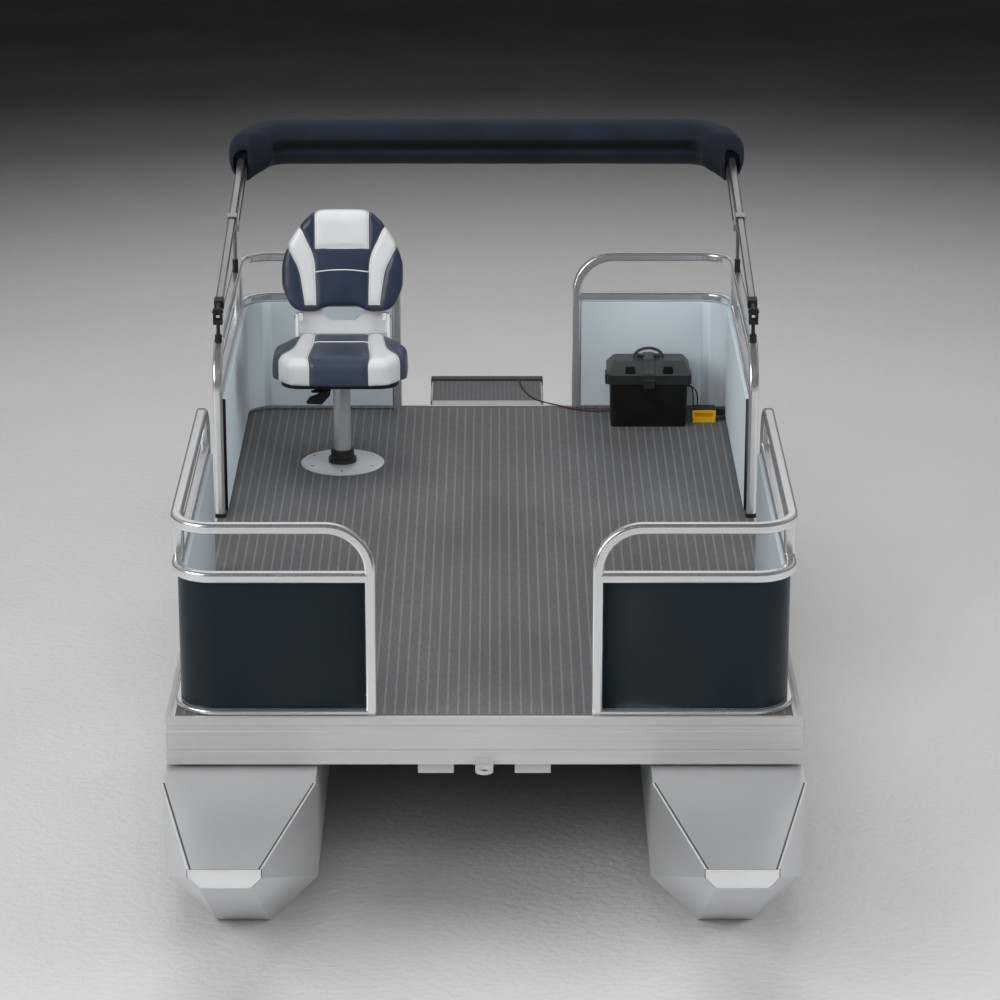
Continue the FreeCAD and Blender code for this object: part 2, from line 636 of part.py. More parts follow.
# Motor pod: a sealed box between the floats whose raked rear face is the transom
pod = new_body("motor_pod", y=station("deck_length"), z=DECK_UNDER)
pod_outline = outline(pod, "YZ_Plane", [[
    ("-pod_under", "-member_height"), ("0", "-member_height"), ("0", "0"), ("pod_length", "0"),
    ("(pod_length - transom_rake)", "-pod_depth"), ("(pod_length - transom_rake - pod_keel)", "-pod_depth"),
    ("-pod_under", "-(member_height + pod_front_height)"),
]])
pad(pod, pod_outline, "pod_width", both_ways=True)
box("pod_deck", ("pod_width - 2 * pod_inset", "pod_length - cap_width", "deck_thickness"),
    "pod_inset - pod_width / 2", station("deck_length"), DECK_UNDER)
cap = new_body("transom_cap", y=station("deck_length + pod_length - cap_width"), z=DECK_UNDER)
cap_outline = outline(cap, "YZ_Plane", [rectangle("0", "cap_width", "0", "(deck_thickness + cap_rise)")])
cap_pad = pad(cap, cap_outline, "pod_width", both_ways=True)
round_edges(cap, cap_pad, "cap_rise - 2",
            lambda edge: runs_along(edge, Vector(1, 0, 0)) and edge.CenterOfMass.z > 1)


# Rail sections: one bent tube from post to post, a mid rail, a bottom channel and a short post
def fence_corner(end, side):
    """Places of one rail section: gate post, corner, far post and the way along the side."""
    gate = Vector(side * mm(GATE_X), mm(station(FRONT_Y if end == "front" else REAR_Y)), 0)
    corner = Vector(side * mm(RAIL_X), gate.y, 0)
    far = Vector(corner.x, mm(station(FRONT_END_Y if end == "front" else REAR_START_Y)), 0)
    return gate, corner, far


def fence_frame(end, side):
    gate, corner, far = fence_corner(end, side)
    up = Vector(0, 0, 1)
    tube = mm("tube")
    deck = mm("deck_height")
    floor = up * (deck + (mm("flange_thickness") if mm("fascia_flange") > mm("fence_inset_end") else 0))
    top = up * (deck + mm("fence_height") - tube / 2)
    middle = up * (deck + mm("mid_rail_height") - tube / 2)
    low = up * (deck + mm("bottom_rail_height") / 2)
    plan = mm("plan_bend")
    bend = mm("post_bend")
    corner_radius = mm("tube_corner")
    along = (far - corner).normalize()
    route = [gate + floor, gate + top, corner + top, far + top, far + floor]
    pieces = [bent_tube(route, [bend, plan, bend], tube, tube, corner_radius)]
    mid_route = [gate + middle, corner + middle, far + middle]
    pieces.append(bent_tube(mid_route, [plan], tube, tube, corner_radius))
    low_route = [gate + low, corner + low, far + low]
    low_height = mm("bottom_rail_height")
    pieces.append(bent_tube(low_route, [plan], tube, low_height, low_height / 3))
    foot = corner + along * (plan + mm("short_post_offset"))
    pieces.append(bent_tube([foot + middle, foot + top], [], tube, tube, corner_radius))
    return pieces[0].fuse(pieces[1:])


def fence_panel(end, side):
    """A board between the posts, the mid rail and the bottom channel, bent round the corner."""
    gate, corner, far = fence_corner(end, side)
    along = (far - corner).normalize()
    inward = mm("panel_thickness / 2")
    sideways = Vector(-side * inward, 0, 0)
    lengthways = along * inward
    clear = mm("tube / 2 + panel_gap")
    foot = mm("bottom_rail_height + panel_gap")
    height = mm("mid_rail_height - tube - panel_gap") - foot
    middle = Vector(0, 0, mm("deck_height") + foot + height / 2)
    route = [
        gate + Vector(side * clear, 0, 0) + lengthways + middle,
        corner + sideways + lengthways + middle,
        far - along * clear + sideways + middle,
    ]
    return bent_tube(route, [mm("plan_bend") - inward], mm("panel_thickness"), height, 1)


for end in ("front", "rear"):
    for name, side in (("left", -1), ("right", 1)):
        shape_of(f"rail_{end}_{name}", fence_frame(end, side))
        shape_of(f"panel_{end}_{name}", fence_panel(end, side))

# Seat pedestal: base plate, bushing and tube on the deck
SEAT_X = "-seat_offset"
SEAT_Y = station("seat_station")


def turned(label, points, x, y, z):
    """A turned piece: a half outline of radius and height, spun about its own upright axis."""
    body = new_body(label, x, y, z)
    sketch = outline(body, "XZ_Plane", [points])
    spin = body.newObject("PartDesign::Revolution", label + "_spin")
    spin.Profile = sketch
    spin.ReferenceAxis = (sketch, ["V_Axis"])
    spin.Angle = 360
    doc.recompute()
    return body


turned("pedestal_base", [
    ("post_diameter / 2", "0"), ("base_diameter / 2", "0"), ("base_diameter / 2", "base_rim"),
    ("(base_diameter / 2 - base_bevel)", "base_rise"), ("post_diameter / 2", "base_rise"),
], SEAT_X, SEAT_Y, "deck_height")
turned("pedestal_bushing", [
    ("post_diameter / 2", "0"), ("bushing_diameter / 2", "0"), ("bushing_diameter / 2", "bushing_step"),
    ("bushing_neck / 2", "(bushing_step + bushing_chamfer)"),
    ("bushing_neck / 2", "(bushing_height - bushing_chamfer)"),
    ("(bushing_neck / 2 - bushing_chamfer)", "bushing_height"), ("post_diameter / 2", "bushing_height"),
], SEAT_X, SEAT_Y, level("base_rise"))
turned("pedestal_post", [
    ("post_bore / 2", "0"), ("post_diameter / 2", "0"), ("post_diameter / 2", "post_top"),
    ("post_bore / 2", "post_top"),
], SEAT_X, SEAT_Y, "deck_height")

# Seat mount: a spigot in the pedestal tube under two plates, with the swivel lever
spigot = "swivel_pin / 2"
collar = "(post_diameter / 2 + collar_wall)"
mount = turned("seat_mount", [
    ("0", "-swivel_pin_length"), (spigot, "-swivel_pin_length"), (spigot, "swivel_gap"),
    (collar, "swivel_gap"), (collar, "(mount_height / 2)"), ("0", "(mount_height / 2)"),
], SEAT_X, SEAT_Y, level("post_top"))
plate_square = rectangle("-mount_size / 2", "mount_size / 2", "-mount_size / 2", "mount_size / 2")
for plate_foot in ("mount_height / 2 - mount_plate", "mount_height - mount_plate"):
    pad(mount, outline(mount, "XY_Plane", [plate_square], plate_foot), "mount_plate")
slides = outline(mount, "XZ_Plane", [
    rectangle(f"({side} * mount_size / 3 - slide_rail / 2)", f"({side} * mount_size / 3 + slide_rail / 2)",
              "mount_height / 2", "(mount_height - mount_plate)")
    for side in (-1, 1)
])
pad(mount, slides, "mount_size", both_ways=True)
lever = outline(mount, "XY_Plane", [[
    ("-lever_root", "-(lever_front / 3)"), ("-(lever_root / 3)", "-(lever_front / 2)"),
    ("-(lever_reach * 2 / 3)", "-lever_front"), ("-lever_reach", "-(lever_front - lever_thickness)"),
]], "mount_height / 2 - mount_plate - lever_thickness")
lever_plate = pad(mount, lever, "lever_thickness")
round_edges(mount, lever_plate, "lever_thickness",
            lambda edge: runs_along(edge, Vector(0, 0, 1)) and edge.CenterOfMass.x < -mm("mount_size / 3")
            and edge.CenterOfMass.y < -mm("mount_size / 2 + lever_thickness"))

# Seat pan: moulded tray under the cushion, with two ears that carry the backrest hinge
PAN_Z = level("post_top + mount_height")
pan = new_body("seat_pan", SEAT_X, SEAT_Y, PAN_Z)
pan_half = "pan_width / 2"
pan_front = "(pan_rear - pan_length)"
tray_outline = outline(pan, "XY_Plane", [rectangle(f"-{pan_half}", pan_half, pan_front, "pan_rear")])
tray = pad(pan, tray_outline, "pan_thickness")
tray = round_edges(pan, tray, "pan_width / 6", lambda edge: runs_along(edge, Vector(0, 0, 1)))
ear_in = "(tongue_width / 2 + ear_gap)"
hinge_up = "(hinge_height - post_top - mount_height)"
ear_head = f"({hinge_up} + ear_half - ear_set)"
ear_profile = [
    ("(cushion_rear + ear_set)", "0"), ("pan_rear", "0"),
    ("(hinge_station + ear_half)", f"({hinge_up} - ear_half)"),
    ("(hinge_station + ear_half)", ear_head),
    ("(hinge_station - ear_half)", ear_head),
    ("(hinge_station - ear_half - ear_slope)", f"({hinge_up} - ear_half - ear_slope)"),
]
for facing, ear_start in ((False, ear_in), (True, f"-{ear_in}")):
    pad(pan, outline(pan, "YZ_Plane", [ear_profile], ear_start), "ear_thickness", reverse=facing)

drill(pan, "YZ_Plane", "hinge_station", hinge_up, "hinge_pin / 2 + pin_gap", "pan_width")

# Seat cushion: rounded block, narrower at the back
cushion = new_body("seat_cushion", SEAT_X, SEAT_Y, f"({PAN_Z} + pan_thickness + soft_gap)")
wide = "cushion_width / 2"
nose = "(cushion_width / 2 - cushion_nose)"
cheek = "-(cushion_front - cushion_cheek)"
block = pad(cushion, outline(cushion, "XY_Plane", [[
    (f"-{nose}", "-cushion_front"), (nose, "-cushion_front"), (wide, cheek), (wide, "-cushion_waist"),
    ("tongue_width / 2", "cushion_rear"), ("-tongue_width / 2", "cushion_rear"),
    (f"-{wide}", "-cushion_waist"), (f"-{wide}", cheek),
]]), "cushion_height")
block = round_edges(cushion, block, "cushion_corner", lambda edge: runs_along(edge, Vector(0, 0, 1)))
top_of_cushion = mm("cushion_height") - 1
round_edges(cushion, block, "cushion_round",
            lambda edge: not runs_along(edge, Vector(0, 0, 1)) and edge.CenterOfMass.z > top_of_cushion)


# Backrest: a moulded shell with a hand hole, and its pad, both leaning back about the hinge
def on_hinge(body):
    body.Placement = Placement(Vector(0, 0, 0), Rotation(Vector(1, 0, 0), 0))
    body.setExpression(".Placement.Rotation.Angle", "-" + link("back_tilt"))
    place(body, SEAT_X, f"({SEAT_Y} + hinge_station)", level("hinge_height"))


def back_outline(inset):
    """Half of the backrest's outline from the top to the foot, set in from the pad's edge."""
    return [
        (f"(back_top_width / 2 - {inset})", f"(back_top - {inset})"),
        (f"(shoulder_width / 2 - {inset})", f"(back_top - shoulder_drop - {inset})"),
        (f"(arm_width / 2 - {inset})", "(back_top - arm_drop)"),
        (f"(back_width / 2 - {inset})", "(back_top - widest_drop)"),
        (f"(back_width / 2 - {inset})", "(back_bottom + widest_rise)"),
    ]


def mirrored(half):
    """A closed outline from its right half, which runs from the top down."""
    return half + [("-" + x, y) for x, y in reversed(half)]


shell = new_body("backrest_shell")
on_hinge(shell)
tongue = "(tongue_width / 2)"
notch = "(notch_width / 2)"
notch_foot = "(notch_width / 2 - notch_round)"
plate_outline = mirrored(back_outline("shell_inset") + [(tongue, "back_bottom"), (tongue, "-tongue_drop")])
hand_hole = mirrored([(notch, "(back_bottom + notch_drop)"), (notch, "back_bottom"),
                      (notch_foot, "(back_bottom - notch_drop)")])
shell_outline = outline(shell, "XZ_Plane", [plate_outline, hand_hole], "-(back_rear + soft_gap)")
shell_plate = pad(shell, shell_outline, "back_shell", reverse=True)
shell_plate = round_edges(shell, shell_plate, "back_shell", lambda edge: runs_along(edge, Vector(0, 1, 0)))

lug_in = "(tongue_width / 2 - lug_thickness)"
lug = rectangle("-lug_size / 2", "(back_rear + soft_gap)", "-lug_size / 2", "lug_size / 2")
for facing, start in ((False, lug_in), (True, f"-{lug_in}")):
    pad(shell, outline(shell, "YZ_Plane", [lug], start), "lug_thickness", reverse=facing)

backrest = new_body("backrest_pad")
on_hinge(backrest)
pad_outline = mirrored(back_outline("0") + [
    ("(back_width / 2 - heel_in)", "(back_bottom + heel_rise)"),
    ("(back_width / 2 - sole_in)", "back_bottom"),
    ("(notch_width / 2 + arch_start)", "back_bottom"),
    ("(notch_width / 2 - arch_ease)", "(back_bottom + back_arch)"),
])
back_block = pad(backrest, outline(backrest, "XZ_Plane", [pad_outline], "back_front"),
                 "back_front + back_rear", reverse=True)
through = Vector(0, 1, 0)
back_block = round_edges(backrest, back_block, "back_corner", lambda edge: runs_along(edge, through))
face_of_pad = 1 - mm("back_front")
round_edges(backrest, back_block, "back_round",
            lambda edge: not runs_along(edge, through) and edge.CenterOfMass.y < face_of_pad)

# Hinge pins: they start in the shell's lugs and run out through the ears
pin_length = mm("ear_thickness + ear_gap + pin_proud")
hinge_y = mm(f"{SEAT_Y} + hinge_station")
pins = []
for side in (-1, 1):
    spot = Vector(mm(SEAT_X) + side * mm("tongue_width / 2"), hinge_y, mm(level("hinge_height")))
    pins.append(Part.makeCylinder(mm("hinge_pin / 2"), pin_length, spot, Vector(side, 0, 0)))
shape_of("backrest_pins", Part.makeCompound(pins))

# Battery box: a tapered open box with the battery in it, a lid that lifts off, and the charger beside
BOX_Y = station("box_station")


def tapered_box(wide, deep, high, foot, head, x, y, z):
    """A block with round upright corners, its foot and head set in by (sideways, lengthways)."""
    up = Vector(0, 0, 1)
    rings = []
    for inset, height in ((foot, z), (head, z + high)):
        middle = Vector(x, y + deep / 2, height)
        rings.append(rounded_section(middle, up, wide - 2 * inset[0], deep - 2 * inset[1], mm("box_corner")))
    return Part.makeLoft(rings, True, True)


box_x = mm("box_offset")
box_y = mm(BOX_Y)
box_z = mm("deck_height")
wall = mm("box_wall")
draft = (mm("box_taper"), mm("box_taper"))
upright = (0, 0)
inside_wide = mm("box_width") - 2 * wall
inside_deep = mm("box_depth") - 2 * wall
outer = tapered_box(mm("box_width"), mm("box_depth"), mm("box_height"), draft, upright, box_x, box_y, box_z)
inner = tapered_box(inside_wide, inside_deep, mm("box_height"), draft, upright,
                    box_x, box_y + wall, box_z + wall)
shape_of("battery_box", outer.cut(inner))
box("battery", ("battery_width", "battery_depth", "battery_height"),
    "box_offset - battery_width / 2", f"{BOX_Y} + (box_depth - battery_depth) / 2", level("box_wall"))

lid_wide = mm("box_width + 2 * lid_overhang")
lid_deep = mm("box_depth + 2 * lid_overhang")
lid_y = box_y - mm("lid_overhang")
rim = box_z + mm("box_height + soft_gap")
skirt_foot = rim - mm("lid_lap")
skirt_top = skirt_foot + mm("lid_skirt")
lid_top = skirt_top + mm("lid_rise")
slopes = (mm("lid_slope_side"), mm("lid_slope_front"))
gap = mm("lid_gap")


def block_on_lid(width, depth, height, x, y, z):
    """A block centred sideways on a place across the lid."""
    return Part.makeBox(width, depth, height, Vector(box_x + x - width / 2, y, z))


skirt = tapered_box(lid_wide, lid_deep, mm("lid_skirt"), upright, upright, box_x, lid_y, skirt_foot)
hood = tapered_box(lid_wide, lid_deep, mm("lid_rise"), upright, slopes, box_x, lid_y, skirt_top)
rebate = tapered_box(mm("box_width") + 2 * gap, mm("box_depth") + 2 * gap, mm("lid_lap"), upright, upright,
                     box_x, box_y - gap, skirt_foot)
cavity = tapered_box(inside_wide, inside_deep, skirt_top - rim, upright, upright, box_x, box_y + wall, rim)
roof_in = mm("roof_inset")
roof_slopes = (slopes[0], slopes[1] - roof_in)
roof = tapered_box(inside_wide - 2 * roof_in, inside_deep - 2 * roof_in, mm("lid_rise") - 2 * wall,
                   upright, roof_slopes, box_x, box_y + wall + roof_in, skirt_top)
band_y = lid_y + slopes[1]
band = block_on_lid(mm("band_width"), lid_deep - 2 * slopes[1], mm("band_rise"), 0, band_y, lid_top)
latch = block_on_lid(mm("band_width"), mm("latch_thickness"), mm("latch_drop + lid_skirt / 2"), 0,
                     lid_y - mm("latch_thickness"), skirt_foot - mm("latch_drop"))
middle_y = lid_y + lid_deep / 2
on_lid = [band, latch]
hollows = [rebate, cavity, roof]
for side in (-1, 1):
    on_lid.append(block_on_lid(mm("wing_thickness"), mm("wing_length"), mm("wing_drop + lid_skirt / 2"),
                               side * (lid_wide / 2 + gap), middle_y - mm("wing_length / 2"),
                               skirt_foot - mm("wing_drop")))
    ear_x = side * mm("handle_span / 2 - handle_section / 2 - handle_gap - handle_ear / 2")
    on_lid.append(block_on_lid(mm("handle_ear"), mm("handle_ear"), mm("ear_rise"), ear_x,
                               middle_y - mm("handle_ear / 2"), lid_top))
    recess_x = side * mm("recess_offset")
    recess_y = lid_y + mm("lid_slope_front * recess_floor / lid_rise - recess_depth / 4")
    hollows.append(block_on_lid(mm("recess_width"), mm("recess_depth"), mm("lid_rise"), recess_x,
                                recess_y, skirt_top + mm("recess_floor")))
shape_of("battery_lid", skirt.fuse([hood] + on_lid).cut(hollows))


def carry_handle():
    """A half ellipse of moulded grip that stands on the lid."""
    half = mm("handle_span / 2")
    grip = mm("handle_section")
    arch = Part.Ellipse(Vector(0, 0, 0), half, mm("handle_rise"))
    path = Part.Wire(Part.ArcOfEllipse(arch, 0, math.pi).toShape())
    path.Placement = Placement(Vector(box_x, middle_y, lid_top), Rotation(Vector(1, 0, 0), 90))
    foot = Vector(box_x + half, middle_y, lid_top)
    section = rounded_section(foot, Vector(0, 0, 1), grip, grip, grip / 3)
    return path.makePipeShell([section], True, False)


shape_of("battery_handle", carry_handle())

# Charger: a wedge-topped block with a slot in its face and a smaller block on its right side
charger_y = f"({BOX_Y} + charger_setback)"
charger = new_body("charger", "box_offset + box_width / 2 + charger_gap", charger_y, "deck_height")
wedge = pad(charger, outline(charger, "YZ_Plane", [[
    ("0", "0"), ("charger_depth", "0"), ("charger_depth", "(charger_height + charger_rise)"),
    ("0", "charger_height"),
]]), "charger_width")
round_edges(charger, wedge, "charger_round",
            lambda edge: runs_along(edge, Vector(1, 0, 0)) and edge.CenterOfMass.z > 1)
slot_left = "((charger_width - slot_width) / 2)"
slot_face = rectangle(slot_left, f"({slot_left} + slot_width)", "slot_foot", "(slot_foot + slot_height)")
pocket(charger, outline(charger, "XZ_Plane", [slot_face], "-slot_depth"), "slot_depth * 2", reverse=True)
side_block = rectangle("charger_width", "(charger_width + plug_width)", "(charger_depth - plug_depth)",
                       "charger_depth")
pad(charger, outline(charger, "XY_Plane", [side_block], "plug_foot"), "plug_height")

# Folding top, stowed: bows in one plane that rises towards the stern from the pivots
PIVOT = Vector(0, mm(station("pivot_station")), mm(level("pivot_height")))
BOW_PLANE = Placement(PIVOT, Rotation(Vector(1, 0, 0), mm("bow_angle")))
tube = mm("bow_tube")
corner = mm("bow_corner")
leg_x = mm(RAIL_X)
reach = mm("bow_length")
inset = mm("inner_inset")
drop = tube + mm("bow_gap")


def bow(half, start, end, radius, below, grow=0):
    """A U-shaped bow in or under the plane of the bows."""
    route = [Vector(-half, start, -below), Vector(-half, end, -below),
             Vector(half, end, -below), Vector(half, start, -below)]
    return bent_tube(route, [radius, radius], tube + grow, tube + grow, corner + grow / 2)


def end_fitting(x):
    """Black plug in the main bow's end with a tongue drilled for its pivot."""
    eye = mm("eye_length")
    half = mm("eye_width / 2")
    size = tube + 2 * mm("plug_wall")
    high = mm("eye_height")
    length = mm("plug_length")
    pin = mm("pivot_pin / 2 + jaw_gap / 2")
    plug = Part.makeBox(size, length, size, Vector(x - size / 2, eye, -size / 2))
    tongue = Part.makeBox(2 * half, eye, high, Vector(x - half, 0, -high / 2))
    nose = Part.makeCylinder(high / 2, 2 * half, Vector(x - half, 0, 0), Vector(1, 0, 0))
    hole = Part.makeCylinder(pin, 2 * size, Vector(x - size, 0, 0), Vector(1, 0, 0))
    run = Part.makeBox(tube, length, tube, Vector(x - tube / 2, eye + mm("plug_stop"), -tube / 2))
    return plug.fuse([tongue, nose]).cut([hole, run])


def inner_slide(side):
    """A collar round the main bow's leg with a finger in the end of the inner bow."""
    wall = mm("slide_wall")
    length = mm("slide_length")
    size = tube + 2 * wall
    start = mm("inner_bow_start") - length
    x = side * leg_x
    inner_x = side * (leg_x - inset)
    collar = Part.makeBox(size, length, size, Vector(x - size / 2, start, -size / 2))
    block = Part.makeBox(tube, length, tube, Vector(inner_x - tube / 2, start, -drop - tube / 2))
    run = Part.makeBox(tube, 2 * length, tube, Vector(x - tube / 2, start - length / 2, -tube / 2))
    return collar.fuse(block).cut(run)


main_bow = bow(leg_x, mm("eye_length + plug_stop"), reach, mm("bow_bend"), 0)
inner_bow = bow(leg_x - inset, mm("inner_bow_start"), reach - inset, mm("bow_bend") - inset, drop)
shape_of("main_bow", main_bow, BOW_PLANE)
shape_of("inner_bow", inner_bow, BOW_PLANE)
fittings = [end_fitting(side * leg_x) for side in (-1, 1)] + [inner_slide(side) for side in (-1, 1)]
shape_of("bow_ends", Part.makeCompound(fittings), BOW_PLANE)
boot_half = mm("boot_width / 2 - boot_depth / 2")
boot_end = reach - mm("boot_tail")
bend = mm("bow_bend")
lift = mm("boot_lift")
boot_route = [Vector(-boot_half, boot_end, lift), Vector(-boot_half, reach, lift),
              Vector(boot_half, reach, lift), Vector(boot_half, boot_end, lift)]
roll = bent_tube(boot_route, [bend, bend], mm("boot_depth"), mm("boot_height"), mm("boot_corner"))
grow = 2 * mm("boot_gap")
roll = roll.cut([bow(leg_x, mm("inner_bow_start"), reach, bend, 0, grow),
                 bow(leg_x - inset, mm("inner_bow_start"), reach - inset, bend - inset, drop, grow)])


def sleeve_end(side):
    """What the canvas lacks at a tail: its mouth round the legs, its narrower end and the rake of that end."""
    outer_x = mm("boot_width / 2")
    depth = mm("boot_depth")
    tall = mm("boot_height")
    foot = lift - tall / 2
    wide = mm("mouth_width")
    high = mm("mouth_height")
    mouth_x = outer_x - mm("sleeve_width / 2")
    mouth = Part.makeBox(wide, mm("mouth_depth"), high,
                         Vector(side * mouth_x - wide / 2, boot_end, lift - high / 2))
    inside = outer_x - mm("sleeve_width")
    slope = (depth - mm("sleeve_width")) / mm("sleeve_run")
    run = mm("sleeve_run + 2 * boot_gap")
    corners = [(inside + depth * slope, boot_end - depth), (inside - run * slope, boot_end + run),
               (inside - run * slope, boot_end - depth)]
    spots = [Vector(side * x, y, foot - tall) for x, y in corners]
    inner_side = Part.Face(Part.makePolygon(spots + spots[:1])).extrude(Vector(0, 0, 3 * tall))
    rake = Part.makeBox(2 * depth, depth, 2 * tall, Vector(side * boot_half - depth, boot_end - depth, foot))
    rake.rotate(Vector(0, boot_end, foot), Vector(1, 0, 0),
                -math.degrees(math.atan2(mm("boot_rake"), tall)))
    return [mouth, inner_side, rake]


roll = roll.cut(sleeve_end(-1) + sleeve_end(1))
shape_of("canopy_boot", roll, BOW_PLANE)


# Deck hinges on the rear sections' top rails, and the struts that the stowed bows rest on
def deck_hinge(x, rail):
    """A forked hinge on a stud whose foot is cut to the rail that it stands on."""
    foot = mm(level("fence_height - tube / 2"))
    y = PIVOT.y
    z = PIVOT.z
    cheek = mm("jaw_wall")
    inner_half = mm("eye_width / 2 + jaw_gap")
    size = mm("jaw_size")
    drop = mm("jaw_drop")
    cap = mm("jaw_cap")
    base = mm("jaw_base")
    cheeks = []
    for sx in (-inner_half - cheek, inner_half):
        plain = Part.makeBox(cheek, size, drop + cap, Vector(x + sx, y - size / 2, z - drop))
        top = [edge for edge in plain.Edges if runs_along(edge, Vector(1, 0, 0)) and edge.CenterOfMass.z > z]
        cheeks.append(plain.makeFillet(0.9 * cap, top))
    half = inner_half + cheek
    block = Part.makeBox(2 * half, size, base, Vector(x - half, y - size / 2, z - drop - base))
    stud = Part.makeCylinder(mm("stud_diameter / 2"), z - drop - base - foot, Vector(x, y, foot))
    knob = Part.makeCylinder(mm("knob_diameter / 2"), mm("tube / 2 + knob_height"), Vector(x, y, foot))
    pin_half = half + mm("pin_end")
    pin = Part.makeCylinder(mm("pivot_pin / 2"), 2 * pin_half, Vector(x - pin_half, y, z), Vector(1, 0, 0))
    return block.fuse(cheeks + [stud, knob, pin]).cut(rail)


def strut_run(x):
    """Foot of a strut on the top rail, and its head under the inner bow's leg."""
    tilt = math.radians(mm("bow_angle"))
    foot = Vector(x, mm(station("strut_station")), mm(level("fence_height")))
    head_y = foot.y + mm("strut_lean")
    under = (drop + tube / 2 + mm("soft_gap")) / math.cos(tilt)
    return foot, Vector(x, head_y, PIVOT.z + (head_y - PIVOT.y) * math.tan(tilt) - under)


def rest_strut(x):
    foot, head = strut_run(x)
    direction = (head - foot).normalize()
    start = foot + direction * mm("socket_height")
    length = (head - start).Length - mm("head_height")
    return Part.makeCylinder(mm("strut_diameter / 2"), length, start, direction)


def strut_ends(x):
    """Socket on the rail and head under the bow, with the rod's run between them."""
    foot, head = strut_run(x)
    direction = (head - foot).normalize()
    radius = mm("strut_socket / 2")
    socket = Part.makeCylinder(radius, mm("socket_height"), foot)
    high = mm("head_height")
    cap = Part.makeCylinder(radius, high + radius, head - direction * high, direction)
    above = Part.makeBox(6 * radius, 6 * radius, 3 * radius, Vector(-3 * radius, -3 * radius, 0))
    above.Placement = Placement(head, Rotation(Vector(1, 0, 0), mm("bow_angle")))
    return [socket.cut(rest_strut(x)), cap.cut(above)]


for name, side in (("left", -1), ("right", 1)):
    shape_of(f"bow_hinge_{name}", deck_hinge(side * leg_x, fence_frame("rear", side)))
    shape_of(f"rest_strut_{name}", rest_strut(side * leg_x))
shape_of("strut_ends", Part.makeCompound(strut_ends(-leg_x) + strut_ends(leg_x)))


# Lead: from the transom cap over the pod's deck board and the stern edge to the battery box
def cord(label, points, diameter):
    """A plain tube of straight runs joined by arcs as large as the runs allow."""
    radii = []
    for i in range(1, len(points) - 1):
        before = points[i - 1] - points[i]
        after = points[i + 1] - points[i]
        half_turn = (math.pi - before.getAngle(after)) / 2
        radii.append(0.45 * min(before.Length, after.Length) / math.tan(half_turn))
    path = arc_path(points, radii)
    across = Part.Wire(Part.makeCircle(diameter / 2, points[0], points[1] - points[0]))
    solid = path.makePipeShell([across], True, False)
    expected = math.pi * diameter ** 2 / 4 * path.Length
    print(label, "length", round(path.Length, 1), "radii", [round(r) for r in radii],
          "volume ratio", round(solid.Volume / expected, 4))
    return shape_of(label, solid)


deck = mm("deck_height")
rest_height = mm("lead_diameter / 2 + soft_gap")
over_flange = mm("flange_thickness")
LEAD_POINTS = [
    (119, 3288, 8), (120, 3262, 8), (123, 3236, 4), (129, 3198, 0), (139, 3152, 0), (153, 3104, 0),
    (172, 3056, 0), (196, 3018, 1), (226, 2990, 3), (260, 2966, 3), (291, 2943, 0.5), (322, 2924, 0),
    (356, 2911, 0), (390, 2902, 1), (420, 2896, 4), (443, 2894, 6),
]
lead_points = [Vector(x, mm(BOW_EDGE) + y, deck + rest_height + z) for x, y, z in LEAD_POINTS]
cord("battery_lead", lead_points, mm("lead_diameter"))

# Charger leads: from the box's right side, below the lid's wing, down to the back of the charger
CHARGER_LEADS = {
    "charger_lead_inner": [
        (713, 2824, 128), (723, 2825, 127.5), (731, 2829, 122), (736, 2836, 111), (739, 2845, 96),
        (741, 2853, 79), (742, 2858, 61), (742, 2858.5, 46), (742, 2853, 34), (742, 2838, 28),
    ],
    "charger_lead_outer": [
        (713, 2808, 128), (725, 2809, 127.5), (736, 2813, 122), (745, 2821, 112), (751, 2832, 98),
        (755, 2843, 83), (757, 2852, 67), (758, 2857.5, 51), (758, 2855, 37), (758, 2838, 30),
    ],
}
for name, points in CHARGER_LEADS.items():
    cord(name, [Vector(x, mm(BOW_EDGE) + y, deck + z) for x, y, z in points], mm("wire_diameter"))

doc.recompute()

NODES = [item for item in doc.Objects if item.TypeId in ("PartDesign::Body", "Part::Box", "Part::Feature")]
for item in doc.Objects:
    if "Invalid" in item.State or "Error" in item.State:
        raise RuntimeError(item.Label + " failed: " + str(item.State))
for node in NODES:
    if node.Shape.isNull() or not node.Shape.isValid():
        raise RuntimeError(node.Label + " has no valid shape")
for node in NODES:
    node.Shape.exportStep(f"parts/{node.Label}.step")
print(len(NODES), "nodes")
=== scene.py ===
"""Studio picture of a compact pontoon boat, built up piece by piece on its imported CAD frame.

Metres. X to the right seen from the bow, Y from bow to stern, Z up from the floor.
"""

import json
import math

import bmesh
import bpy
from mathutils import Matrix, Vector, noise
from mathutils.bvhtree import BVHTree


